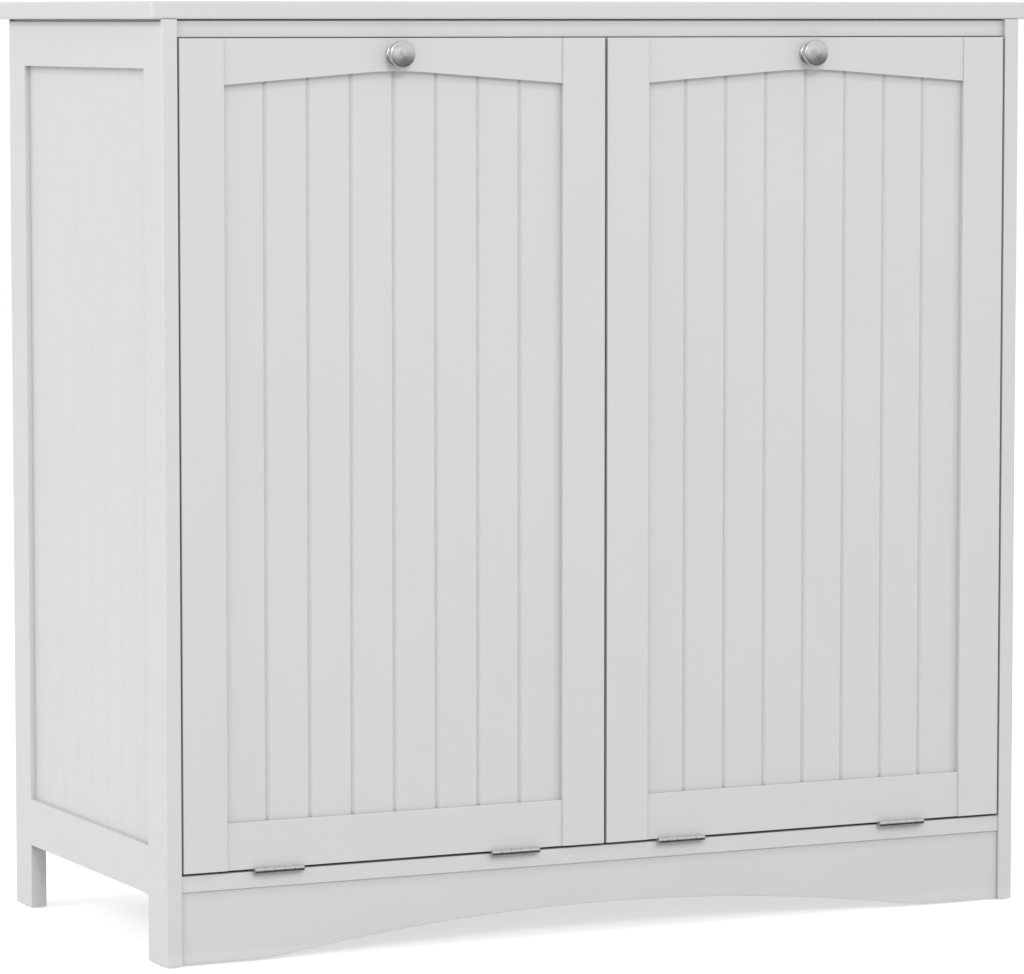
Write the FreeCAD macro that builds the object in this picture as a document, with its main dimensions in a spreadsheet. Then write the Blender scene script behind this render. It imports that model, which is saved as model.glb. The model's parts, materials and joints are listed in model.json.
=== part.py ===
import FreeCAD
import Part
import math
import os
import Sketcher
from types import SimpleNamespace

# Laundry hamper cabinet: two beadboard doors tilt out on butt hinges along the floor board, and each
# carries a bag on a bent rod frame. Millimetres; X runs along the front, Y from front to back, Z up.
# The front plane is the face of the posts and of the door stiles.

SIZES = {
    "overall_width": 900,
    "overall_height": 868,
    "top_depth": 408,
    "top_thickness": 16,
    "top_side_overhang": 10,
    "top_rear_overhang": 10,
    "top_corner_radius": 4,
    "top_edge_radius": 2.5,
    "board_thickness": 15,
    "edge_radius": 0.8,
    "post_width": 44,
    "post_edge_radius": 2,
    "glide_diameter": 11,
    "glide_height": 1.5,
    "glide_pin_diameter": 2.5,
    "glide_pin_length": 10,
    "leg_height": 62,
    "side_top_rail_height": 44,
    "side_bottom_rail_height": 44.5,
    "side_panel_recess": 5,
    "side_panel_thickness": 6,
    "side_bead_depth": 0.6,
    "side_bead_pitch": 38.75,
    "groove_depth": 7,
    "groove_clearance": 0.3,
    "panel_edge_gap": 0.5,
    "floor_height": 68,
    "floor_recess": 1.5,
    "apron_recess": 3.2,
    "apron_floor_gap": 2,
    "apron_foot_length": 65,
    "apron_foot_radius": 320,
    "apron_arch_rise": 27.3,
    "front_rail_depth": 60,
    "front_rail_recess": 5,
    "front_rail_gap": 1.2,
    "shadow_gap_height": 2.2,
    "shadow_gap_depth": 4,
    "shadow_gap_stop": 2,
    "rear_rail_depth": 60,
    "back_panel_thickness": 5,
    "back_panel_inset": 8,
    "back_groove_depth": 6,
    "divider_setback": 2,
    "door_side_gap": 2,
    "door_mid_gap": 2.6,
    "door_top_gap": 0.7,
    "door_thickness": 16,
    "door_opening_angle": 40,
    "stile_width": 43,
    "door_bottom_rail_height": 43.2,
    "door_top_rail_height": 41.7,
    "door_arch_rise": 11.5,
    "door_arch_crown_width": 67,
    "rail_setback": 1.5,
    "door_panel_recess": 6.5,
    "door_panel_thickness": 6,
    "bead_width": 4.2,
    "bead_depth": 2.6,
    "bead_pitch": 42.2,
    "knob_length": 20,
    "knob_diameter": 25,
    "knob_base_diameter": 20,
    "knob_flange": 2,
    "knob_drop": 14.7,
    "knob_screw_diameter": 4,
    "knob_screw_grip": 10,
    "knob_screw_head_diameter": 8,
    "knob_screw_head_height": 2.4,
    "hinge_length": 48.5,
    "hinge_spacing": 237,
    "left_hinge_shift": -1,
    "right_hinge_shift": -16,
    "leaf_depth": 18,
    "leaf_thickness": 1,
    "leaf_gap": 0.3,
    "pin_diameter": 3.6,
    "pin_clearance": 0.05,
    "knuckle_gap": 0.3,
    "barrel_clearance": 0.35,
    "hinge_screw_spread": 28,
    "screw_diameter": 3,
    "screw_head_diameter": 5,
    "screw_head_height": 1,
    "screw_length": 12,
    "fastener_fit": 0.05,
    "dowel_diameter": 6,
    "dowel_length": 28,
    "dowel_seat": 10,
    "floor_dowel_inset": 30,
    "apron_dowel_inset": 16,
    "front_rail_dowel_inset": 10,
    "front_rail_dowel_spacing": 16,
    "rear_rail_dowel_inset": 15,
    "rear_rail_dowel_spacing": 33,
    "divider_dowel_inset": 90,
    "stay_radius": 230,
    "stay_width": 12,
    "stay_thickness": 2,
    "stay_inset": 5,
    "stay_foot_width": 24,
    "stay_foot_height": 34,
    "stay_stop_radius": 10,
    "stay_clearance": 0.4,
    "guide_setback": 24,
    "guide_depth": 16,
    "guide_height": 24,
    "guide_wall": 4,
    "guide_ear": 11,
    "guide_ear_thickness": 3,
    "rod_diameter": 6,
    "rod_bend_radius": 15,
    "rod_corner_radius": 30,
    "rod_leg_inset": 22,
    "rod_leg_length": 120,
    "frame_drop": 114,
    "frame_front_gap": 24,
    "frame_rear_gap": 85,
    "saddle_thickness": 1.5,
    "saddle_height": 12,
    "saddle_ear": 10,
    "saddle_clearance": 0.1,
    "bag_wall": 1.2,
    "bag_clearance": 0.3,
    "bag_floor_gap": 40,
    "bag_taper": 25,
    "bag_front_radius": 8,
    "cuff_height": 40,
    "cuff_front_radius": 2,
    "catch_length": 46,
    "catch_body_length": 26,
    "catch_depth": 14,
    "catch_height": 13,
    "catch_ear_thickness": 3,
    "catch_offset": 110,
    "catch_gap": 0.3,
    "magnet_length": 20,
    "magnet_depth": 8,
    "magnet_height": 7,
    "strike_length": 40,
    "strike_height": 14,
    "strike_thickness": 1.2,
}
DOOR_BEAD_COUNT = 7
SIDE_BEAD_COUNT = 7
KNUCKLE_COUNT = 5

doc = FreeCAD.newDocument("hamper_cabinet")
sheet = doc.addObject("Spreadsheet::Sheet", "Sizes")
nodes = []


class Rule:
    """A size as an expression over the sheet, with its present value for laying out sketches."""

    def __init__(self, text, value):
        self.text = text
        self.value = value

    def __add__(self, other):
        other = rule(other)
        return Rule("(%s + %s)" % (self.text, other.text), self.value + other.value)

    def __sub__(self, other):
        other = rule(other)
        return Rule("(%s - %s)" % (self.text, other.text), self.value - other.value)

    def __mul__(self, other):
        other = rule(other)
        return Rule("(%s * %s)" % (self.text, other.text), self.value * other.value)

    def __truediv__(self, other):
        other = rule(other)
        return Rule("(%s / %s)" % (self.text, other.text), self.value / other.value)

    def __radd__(self, other):
        return rule(other) + self

    def __rsub__(self, other):
        return rule(other) - self

    def __rmul__(self, other):
        return rule(other) * self

    def __neg__(self):
        return rule(0) - self


def rule(size):
    if isinstance(size, Rule):
        return size
    return Rule("(%s)" % size, size)


def root(size):
    return Rule("sqrt(%s)" % size.text, math.sqrt(size.value))


def sine(degrees):
    return Rule("sin(%s)" % degrees.text, math.sin(math.radians(degrees.value)))


def cosine(degrees):
    return Rule("cos(%s)" % degrees.text, math.cos(math.radians(degrees.value)))


def arc_radius(half_chord, height):
    """Radius of the arc that rises by height over a chord."""
    return (half_chord * half_chord + height * height) / (2 * height)


def bind(item, **sizes):
    for name, size in sizes.items():
        item.setExpression(name, rule(size).text)


def place(item, x, y, z, rotation=None):
    if rotation:
        item.Placement = FreeCAD.Placement(FreeCAD.Vector(), rotation)
    for axis, size in zip("xyz", (x, y, z)):
        item.setExpression("Placement.Base." + axis, rule(size).text)


for row, (alias, number) in enumerate(SIZES.items(), start=1):
    sheet.set("A%d" % row, alias)
    sheet.set("B%d" % row, str(number))
    sheet.setAlias("B%d" % row, alias)
doc.recompute()
s = SimpleNamespace(**{alias: Rule("Sizes." + alias, number) for alias, number in SIZES.items()})

# Planes and sizes that several pieces share.
front = (s.knob_length - s.rail_setback - s.top_depth) / 2
half_body = s.overall_width / 2 - s.top_side_overhang
inner_half = half_body - s.board_thickness
body_depth = s.top_depth - s.top_rear_overhang
under_top = s.overall_height - s.top_thickness
floor_top = s.floor_height + s.board_thickness
rail_under = under_top - s.front_rail_gap - s.board_thickness
back_front = body_depth - s.back_panel_inset - s.back_panel_thickness
tongue = s.groove_depth - s.panel_edge_gap
side_run = body_depth - 2 * s.post_width
side_groove = s.side_panel_thickness + s.groove_clearance
door_groove = s.door_panel_thickness + s.groove_clearance
barrel_radius = s.pin_diameter / 2 + s.pin_clearance + s.leaf_thickness
axis_out = barrel_radius + s.barrel_clearance
axis_y = front - axis_out
axis_z = floor_top + s.leaf_thickness + s.leaf_gap / 2
door_base = floor_top + 2 * s.leaf_thickness + s.leaf_gap
door_crest = rail_under - s.door_top_gap
door_height = door_crest - door_base
door_width = inner_half - s.door_side_gap - s.door_mid_gap / 2
door_rail_run = door_width - 2 * s.stile_width
door_back = front + s.door_thickness
rod_radius = s.rod_diameter / 2
frame_z = door_crest - s.frame_drop
frame_half = door_width / 2 - s.rod_leg_inset
frame_start = s.door_thickness + rod_radius + s.rod_bend_radius
frame_cross = s.door_thickness + s.frame_front_gap
frame_rear = back_front - s.frame_rear_gap
stay_stop_angle = s.door_opening_angle + 1 + 180 / math.pi * (
    (s.guide_setback + s.guide_depth + axis_out) / (s.stay_radius - s.stay_stop_radius)
    + s.stay_stop_radius / s.stay_radius
)
guide_mid = s.guide_setback + s.guide_depth / 2
guide_reach = guide_mid + axis_out
guide_z = axis_z + root(s.stay_radius * s.stay_radius - guide_reach * guide_reach)

LEFT, RIGHT = -1, 1
SIDES = (("left", LEFT), ("right", RIGHT))
ALONG = {
    "+X": FreeCAD.Rotation(FreeCAD.Vector(0, 0, 1), FreeCAD.Vector(1, 0, 0)),
    "-X": FreeCAD.Rotation(FreeCAD.Vector(0, 0, 1), FreeCAD.Vector(-1, 0, 0)),
    "+Y": FreeCAD.Rotation(FreeCAD.Vector(0, 0, 1), FreeCAD.Vector(0, 1, 0)),
    "-Y": FreeCAD.Rotation(FreeCAD.Vector(0, 0, 1), FreeCAD.Vector(0, -1, 0)),
    "+Z": FreeCAD.Rotation(),
    "-Z": FreeCAD.Rotation(FreeCAD.Vector(1, 0, 0), 180),
}
# A round part about the hinge axis whose angle is counted from straight up towards the back.
SWEEP_BACK = FreeCAD.Rotation(
    FreeCAD.Vector(0, 0, 1), FreeCAD.Vector(0, 1, 0), FreeCAD.Vector(-1, 0, 0), "ZXY"
)


def new_body(label, x, y, z):
    body = doc.addObject("PartDesign::Body", label)
    body.Label = label
    place(body, x, y, z)
    return body


def add_feature(body, kind, name):
    feature = body.newObject("PartDesign::" + kind, body.Name + "_" + name)
    body.Tip = feature
    return feature


def add_box(body, kind, size, x=0, y=0, z=0):
    box = add_feature(body, kind + "Box", "box")
    bind(box, Length=size[0], Width=size[1], Height=size[2])
    place(box, x, y, z)
    return box


def add_cylinder(body, kind, radius, length, x, y, z, along):
    cylinder = add_feature(body, kind + "Cylinder", "cylinder")
    bind(cylinder, Radius=radius, Height=length)
    place(cylinder, x, y, z, ALONG[along])
    return cylinder


def board(label, size, x, y, z):
    body = new_body(label, x, y, z)
    add_box(body, "Additive", size)
    return body


def origin_feature(body, role):
    return next(item for item in body.Origin.OriginFeatures if item.Role == role)


def on_face(edge, whole, face):
    axis, end = face
    level = getattr(whole, axis + ("Min" if end == "-" else "Max"))
    return abs(getattr(edge, axis + "Min") - level) < 0.01 and abs(getattr(edge, axis + "Max") - level) < 0.01


def ease(body, radius, *corners):
    """Round the edges of the body's last feature that lie on every face of one of the corners."""
    doc.recompute()
    base = body.Tip
    whole = base.Shape.BoundBox
    names = []
    for number, edge in enumerate(base.Shape.Edges, start=1):
        if any(all(on_face(edge.BoundBox, whole, face) for face in corner.split()) for corner in corners):
            names.append("Edge%d" % number)
    fillet = add_feature(body, "Fillet", "eased")
    fillet.Base = (base, names)
    bind(fillet, Radius=radius)


def arc_between(start, end, radius):
    """Minor arc; a positive radius has its centre on the left of the way from start to end."""
    half = (end - start) * 0.5
    reach = math.sqrt(max(radius * radius - half.Length * half.Length, 0.0))
    left = FreeCAD.Vector(-half.y, half.x, 0).normalize()
    centre = start + half + left * math.copysign(reach, radius)
    turns = [math.atan2(point.y - centre.y, point.x - centre.x) for point in (start, end)]
    if radius < 0:
        turns.reverse()
    return Part.ArcOfCircle(Part.Circle(centre, FreeCAD.Vector(0, 0, 1), abs(radius)), *turns)


def pin_point(sketch, geometry, position, u, v):
    for kind, size in (("DistanceX", u), ("DistanceY", v)):
        size = rule(size)
        index = sketch.addConstraint(Sketcher.Constraint(kind, -1, 1, geometry, position, size.value))
        sketch.setExpression("Constraints[%d]" % index, size.text)


def new_sketch(body, name, plane, lift=None):
    sketch = body.newObject("Sketcher::SketchObject", body.Name + "_" + name)
    sketch.AttachmentSupport = [(origin_feature(body, plane), "")]
    sketch.MapMode = "FlatFace"
    if lift is not None:
        sketch.setExpression("AttachmentOffset.Base.z", rule(lift).text)
    return sketch


def draw(sketch, corners, bends=None, closed=True):
    """Join the corners with lines, or with an arc of the given radius after a numbered corner."""
    bends = bends or {}
    corners = [(rule(u), rule(v)) for u, v in corners]
    points = [FreeCAD.Vector(u.value, v.value, 0) for u, v in corners]
    count = len(points) if closed else len(points) - 1
    ends = []
    for index in range(count):
        start, end = points[index], points[(index + 1) % len(points)]
        positions = (1, 2)
        if index in bends:
            radius = rule(bends[index])
            geometry = sketch.addGeometry(arc_between(start, end, radius.value))
            size = radius if radius.value > 0 else -radius
            limit = sketch.addConstraint(Sketcher.Constraint("Radius", geometry, size.value))
            sketch.setExpression("Constraints[%d]" % limit, size.text)
            if radius.value < 0:
                positions = (2, 1)
        else:
            geometry = sketch.addGeometry(Part.LineSegment(start, end))
        ends.append((geometry, positions))
    for index, (geometry, positions) in enumerate(ends):
        if closed or index:
            before, before_positions = ends[index - 1]
            sketch.addConstraint(
                Sketcher.Constraint("Coincident", before, before_positions[1], geometry, positions[0])
            )
        pin_point(sketch, geometry, positions[0], *corners[index])
    if not closed:
        pin_point(sketch, ends[-1][0], ends[-1][1][1], *corners[-1])
    return sketch


def extrude(body, kind, sketch, length, reverse=False):
    feature = add_feature(body, kind, kind.lower())
    feature.Profile = sketch
    feature.Reversed = reverse
    bind(feature, Length=length)
    return feature


def repeat(body, feature, sketch, axis, run, count):
    pattern = add_feature(body, "LinearPattern", "row")
    pattern.Originals = [feature]
    pattern.Direction = (sketch, [axis])
    bind(pattern, Length=run)
    pattern.Occurrences = count
    body.Tip = pattern


def revolve(body, corners, bends=None):
    """Turn an outline in the YZ plane about the body's Y axis."""
    profile = draw(new_sketch(body, "profile", "YZ_Plane"), corners, bends)
    feature = add_feature(body, "Revolution", "turned")
    feature.Profile = profile
    feature.ReferenceAxis = (profile, ["H_Axis"])
    feature.Angle = 360


def boolean(kind, label, base, tool):
    item = doc.addObject("Part::" + kind, label)
    item.Label = label
    item.Base = base
    item.Tool = tool
    return item


def gather(kind, label, items):
    item = doc.addObject("Part::" + kind, label)
    item.Label = label
    if kind == "Compound":
        item.Links = items
    else:
        item.Shapes = items
    return item


def solid_box(label, size, x, y, z):
    box = doc.addObject("Part::Box", label)
    bind(box, Length=size[0], Width=size[1], Height=size[2])
    place(box, x, y, z)
    return box


def solid_cylinder(label, radius, length, x, y, z, rotation):
    cylinder = doc.addObject("Part::Cylinder", label)
    bind(cylinder, Radius=radius, Height=length)
    place(cylinder, x, y, z, rotation)
    return cylinder


def publish(label, item, *holes):
    """Cut a piece's holes and give the finished piece its name."""
    for tool in holes:
        item.Label = label + "_blank"
        item = boolean("Cut", label + "_drilled", item, tool)
    item.Label = label
    nodes.append(item)


def side_x(side, inset, thickness):
    """Lower X of a piece whose outer face lies inset from the side of the body."""
    return inset - half_body if side == LEFT else half_body - inset - thickness


def mirrored_x(side, inset, thickness, width):
    """Lower X within a piece of the given width, counted from its outer face."""
    return rule(inset) if side == LEFT else width - inset - thickness


def rounded_box(half_u, half_v, front_radius, rear_radius):
    corners = [
        (front_radius - half_u, -half_v),
        (half_u - front_radius, -half_v),
        (half_u, front_radius - half_v),
        (half_u, half_v - rear_radius),
        (half_u - rear_radius, half_v),
        (rear_radius - half_u, half_v),
        (-half_u, half_v - rear_radius),
        (-half_u, front_radius - half_v),
    ]
    return corners, {1: front_radius, 3: rear_radius, 5: rear_radius, 7: front_radius}


def make_screws(label, spots):
    """Countersunk screws with their heads flush at each spot, and the holes that take them."""
    made = {}
    for kind, fit in (("screws", 0), ("holes", s.fastener_fit)):
        pieces = []
        for number, (x, y, z, along) in enumerate(spots):
            name = "%s_%s_%d" % (label, kind, number)
            shank = s.screw_diameter / 2 + fit
            pieces.append(solid_cylinder(name, shank, s.screw_length + fit, x, y, z, ALONG[along]))
            head = doc.addObject("Part::Cone", name + "_head")
            bind(head, Radius1=s.screw_head_diameter / 2 + fit, Radius2=shank, Height=s.screw_head_height)
            place(head, x, y, z, ALONG[along])
            pieces.append(head)
        made[kind] = gather("MultiFuse", label + "_" + kind, pieces)
    return made["screws"], made["holes"]


def cut_beads(body, corners, height, axis, run, count):
    sketch = draw(new_sketch(body, "bead", "XY_Plane"), corners)
    pocket = extrude(body, "Pocket", sketch, height, reverse=True)
    repeat(body, pocket, sketch, axis, run, count)


def make_leaf(label, x, moving):
    """Hinge leaf about its pin axis: a plate with its own knuckles and room for the other leaf's."""
    body = new_body(label, x, axis_y, axis_z)
    pitch = s.hinge_length / KNUCKLE_COUNT
    start = -s.hinge_length / 2
    low = s.leaf_gap / 2 if moving else -s.leaf_gap / 2 - s.leaf_thickness
    add_box(body, "Additive", (s.hinge_length, s.leaf_depth, s.leaf_thickness), start, 0, low)
    axis = new_sketch(body, "axis", "XY_Plane")
    own, other = (1, 0) if moving else (0, 1)
    counts = (KNUCKLE_COUNT // 2 + 1, KNUCKLE_COUNT // 2)
    room = add_cylinder(body, "Subtractive", barrel_radius + s.barrel_clearance, pitch + s.knuckle_gap,
                        start + other * pitch - s.knuckle_gap / 2, 0, 0, "+X")
    repeat(body, room, axis, "H_Axis", 2 * pitch * (counts[other] - 1), counts[other])
    knuckle = add_cylinder(body, "Additive", barrel_radius, pitch - s.knuckle_gap,
                           start + own * pitch + s.knuckle_gap / 2, 0, 0, "+X")
    repeat(body, knuckle, axis, "H_Axis", 2 * pitch * (counts[own] - 1), counts[own])
    add_cylinder(body, "Subtractive", s.pin_diameter / 2 + s.pin_clearance, s.hinge_length, start, 0, 0, "+X")
    return body


# Dowels that join the boards, each with its seat in the board listed first.
dowel_starts = []
for side in (LEFT, RIGHT):
    end_x = -inner_half - s.dowel_seat if side == LEFT else inner_half + s.dowel_seat - s.dowel_length
    floor_z = s.floor_height + s.board_thickness / 2
    rail_z = rail_under + s.board_thickness / 2
    floor_inset = s.post_width + s.floor_dowel_inset
    for depth in (floor_inset, body_depth / 2, body_depth - floor_inset):
        dowel_starts.append((end_x, front + depth, floor_z, "+X"))
    first = s.front_rail_recess + s.front_rail_dowel_inset
    last = back_front - s.rear_rail_dowel_inset
    for depth in (first, first + s.front_rail_dowel_spacing, last - s.rear_rail_dowel_spacing, last):
        dowel_starts.append((end_x, front + depth, rail_z, "+X"))
    for height in (s.apron_floor_gap + s.apron_dowel_inset, s.floor_height - s.apron_dowel_inset):
        dowel_starts.append((end_x, front + s.apron_recess + s.board_thickness / 2, height, "+X"))
    for share in (0.3, 0.7):
        dowel_starts.append((side_x(side, s.board_thickness / 2, 0), front + body_depth * share,
                             under_top + s.dowel_seat - s.dowel_length, "+Z"))
for depth in (s.divider_dowel_inset, body_depth - s.divider_dowel_inset):
    dowel_starts.append((rule(0), front + depth, floor_top - s.dowel_seat, "+Z"))
for depth in (s.front_rail_recess + s.front_rail_depth / 2, back_front - s.rear_rail_depth / 2):
    dowel_starts.append((rule(0), front + depth, rail_under + s.dowel_seat - s.dowel_length, "+Z"))
dowels = []
dowel_holes = []
for number, (x, y, z, along) in enumerate(dowel_starts):
    name = "dowel_%d" % number
    dowels.append(solid_cylinder(name, s.dowel_diameter / 2, s.dowel_length, x, y, z, ALONG[along]))
    dowel_holes.append(solid_cylinder(name + "_hole", s.dowel_diameter / 2 + s.fastener_fit,
                                      s.dowel_length, x, y, z, ALONG[along]))
dowel_holes = gather("Compound", "dowel_holes", dowel_holes)
publish("carcass_dowels", gather("Compound", "carcass_dowels", dowels))

# Glides nailed under the four legs.
glides = []
glide_holes = []
for side in (LEFT, RIGHT):
    for depth in (s.post_width / 2, body_depth - s.post_width / 2):
        name = "glide_%d" % len(glides)
        centre = (side_x(side, s.board_thickness / 2, 0), front + depth)
        pin_radius = s.glide_pin_diameter / 2
        pin_length = s.glide_height + s.glide_pin_length
        pad = solid_cylinder(name + "_pad", s.glide_diameter / 2, s.glide_height, *centre, 0, ALONG["+Z"])
        pin = solid_cylinder(name + "_pin", pin_radius, pin_length, *centre, 0, ALONG["+Z"])
        glides.append(boolean("Fuse", name, pad, pin))
        glide_holes.append(solid_cylinder(name + "_hole", pin_radius + s.fastener_fit,
                                          pin_length + s.fastener_fit, *centre, 0, ALONG["+Z"]))
glide_holes = gather("Compound", "glide_holes", glide_holes)
publish("foot_glides", gather("Compound", "foot_glides", glides))

# Places of the hardware that is screwed to the cabinet.
door_left_x = {LEFT: s.door_side_gap - inner_half, RIGHT: s.door_mid_gap / 2}
door_centre_x = {side: door_left_x[side] + door_width / 2 for side in (LEFT, RIGHT)}
hinge_shift = {LEFT: s.left_hinge_shift, RIGHT: s.right_hinge_shift}
hinge_x = {
    side: [door_centre_x[side] + hinge_shift[side] + end * s.hinge_spacing / 2 for end in (-1, 1)]
    for side in (LEFT, RIGHT)
}
catch_x = {side: door_centre_x[side] + side * s.catch_offset for side in (LEFT, RIGHT)}
catch_y = door_back + s.strike_thickness + s.catch_gap
screw_y = axis_y + s.leaf_depth - 6
cabinet_spots = []
for side in (LEFT, RIGHT):
    for x in hinge_x[side]:
        for end in (-1, 1):
            cabinet_spots.append((x + end * s.hinge_screw_spread / 2, screw_y,
                                  floor_top + s.leaf_thickness, "-Z"))
    for end in (-1, 1):
        cabinet_spots.append((catch_x[side] + end * (s.catch_length + s.catch_body_length) / 4,
                              catch_y + s.catch_depth / 2, rail_under - s.catch_ear_thickness, "+Z"))
        cabinet_spots.append((side * (inner_half - s.guide_ear_thickness), front + guide_mid,
                              guide_z + end * (s.guide_height + s.guide_ear) / 2,
                              "-X" if side == LEFT else "+X"))
cabinet_screws, cabinet_holes = make_screws("cabinet", cabinet_spots)
publish("cabinet_screws", cabinet_screws)

# Top, side frames and their panels.
top = board("top_panel", (s.overall_width, s.top_depth, s.top_thickness),
            -s.overall_width / 2, front, under_top)
ease(top, s.top_corner_radius, "X- Y-", "X+ Y-", "X- Y+", "X+ Y+")
ease(top, s.top_edge_radius, "Z-", "Z+")
publish("top_panel", top, dowel_holes)

panel_low = s.leg_height + s.side_bottom_rail_height
panel_high = under_top - s.side_top_rail_height
for hand, side in SIDES:
    outer = "X-" if side == LEFT else "X+"
    frame_x = side_x(side, 0, s.board_thickness)
    groove_x = mirrored_x(side, s.side_panel_recess, side_groove, s.board_thickness)
    tongue_x = mirrored_x(side, s.side_panel_recess, s.side_panel_thickness, s.board_thickness)
    shadow_x = mirrored_x(side, 0, s.shadow_gap_depth, s.board_thickness)
    post_height = under_top - s.glide_height

    for end, depth in (("front", rule(0)), ("rear", body_depth - s.post_width)):
        label = "%s_%s_post" % (hand, end)
        post = board(label, (s.board_thickness, s.post_width, post_height),
                     frame_x, front + depth, s.glide_height)
        ease(post, s.post_edge_radius, outer + (" Y-" if end == "front" else " Y+"))
        groove_y = s.post_width - s.groove_depth if end == "front" else 0
        add_box(post, "Subtractive", (side_groove, s.groove_depth, under_top - s.leg_height),
                groove_x, groove_y, s.leg_height - s.glide_height)
        start = s.shadow_gap_stop if end == "front" else rule(0)
        add_box(post, "Subtractive",
                (s.shadow_gap_depth, s.post_width - s.shadow_gap_stop, s.shadow_gap_height),
                shadow_x, start, post_height - s.shadow_gap_height)
        if end == "rear":
            back_groove_x = mirrored_x(side, s.board_thickness - s.back_groove_depth, s.back_groove_depth,
                                       s.board_thickness)
            back_groove = (s.back_groove_depth, s.back_panel_thickness + s.groove_clearance,
                           under_top - s.floor_height)
            add_box(post, "Subtractive", back_groove,
                    back_groove_x, back_front - depth, s.floor_height - s.glide_height)
            publish(label, post, dowel_holes, glide_holes)
        else:
            publish(label, post, dowel_holes, glide_holes, cabinet_holes)

    for end, low, height in (("bottom", s.leg_height, s.side_bottom_rail_height),
                             ("top", panel_high, s.side_top_rail_height)):
        label = "%s_side_%s_rail" % (hand, end)
        rail = board(label, (s.board_thickness, side_run, height), frame_x, front + s.post_width, low)
        add_box(rail, "Additive", (s.side_panel_thickness, side_run + 2 * tongue, height),
                tongue_x, -tongue, 0)
        groove_z = height - s.groove_depth if end == "bottom" else 0
        add_box(rail, "Subtractive", (side_groove, side_run + 2 * tongue, s.groove_depth),
                groove_x, -tongue, groove_z)
        if end == "top":
            add_box(rail, "Subtractive", (s.shadow_gap_depth, side_run, s.shadow_gap_height),
                    shadow_x, 0, height - s.shadow_gap_height)
        publish(label, rail, dowel_holes)

    label = hand + "_side_panel"
    panel_height = panel_high - panel_low + 2 * tongue
    panel = board(label, (s.side_panel_thickness, side_run + 2 * tongue, panel_height),
                  side_x(side, s.side_panel_recess, s.side_panel_thickness),
                  front + s.post_width - tongue, panel_low - tongue)
    face = rule(0) if side == LEFT else s.side_panel_thickness
    first = side_run / 2 + tongue - s.side_bead_pitch * (SIDE_BEAD_COUNT - 1) / 2
    cut_beads(panel,
              [(face, first - s.bead_width / 2), (face, first + s.bead_width / 2),
               (face - side * s.side_bead_depth, first)],
              panel_height, "V_Axis", s.side_bead_pitch * (SIDE_BEAD_COUNT - 1), SIDE_BEAD_COUNT)
    publish(label, panel)

# Boards between the side frames.
floor = board("floor_panel", (2 * inner_half, back_front - s.floor_recess, s.board_thickness),
              -inner_half, front + s.floor_recess, s.floor_height)
ease(floor, s.edge_radius, "Y- Z+", "Y- Z-")
publish("floor_panel", floor, dowel_holes, cabinet_holes)

back_half = inner_half + s.back_groove_depth - s.panel_edge_gap
publish("back_panel", board("back_panel", (2 * back_half, s.back_panel_thickness, under_top - s.floor_height),
                            -back_half, front + back_front, s.floor_height))

divider_front = s.door_thickness + s.divider_setback
publish("centre_divider",
        board("centre_divider", (s.board_thickness, back_front - divider_front, rail_under - floor_top),
              -s.board_thickness / 2, front + divider_front, floor_top), dowel_holes)

front_rail = board("top_front_rail", (2 * inner_half, s.front_rail_depth, s.board_thickness),
                   -inner_half, front + s.front_rail_recess, rail_under)
ease(front_rail, s.edge_radius, "Y- Z+", "Y- Z-")
publish("top_front_rail", front_rail, dowel_holes, cabinet_holes)

publish("top_rear_rail",
        board("top_rear_rail", (2 * inner_half, s.rear_rail_depth, s.board_thickness),
              -inner_half, front + back_front - s.rear_rail_depth, rail_under), dowel_holes)

apron = new_body("front_apron", 0, front + s.apron_recess, 0)
half_arch = inner_half - s.apron_foot_length
both_radii = arc_radius(half_arch, s.apron_arch_rise)
foot_share = s.apron_foot_radius / both_radii
turn_x = half_arch - half_arch * foot_share
turn_z = s.apron_floor_gap + s.apron_arch_rise * foot_share
apron_outline = draw(
    new_sketch(apron, "outline", "XZ_Plane"),
    [(-inner_half, s.apron_floor_gap), (-half_arch, s.apron_floor_gap), (-turn_x, turn_z),
     (turn_x, turn_z), (half_arch, s.apron_floor_gap), (inner_half, s.apron_floor_gap),
     (inner_half, s.floor_height), (-inner_half, s.floor_height)],
    {1: s.apron_foot_radius, 2: s.apron_foot_radius - both_radii, 3: s.apron_foot_radius},
)
extrude(apron, "Pad", apron_outline, s.board_thickness, reverse=True)
ease(apron, s.edge_radius, "Y-")
publish("front_apron", apron, dowel_holes)

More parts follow.
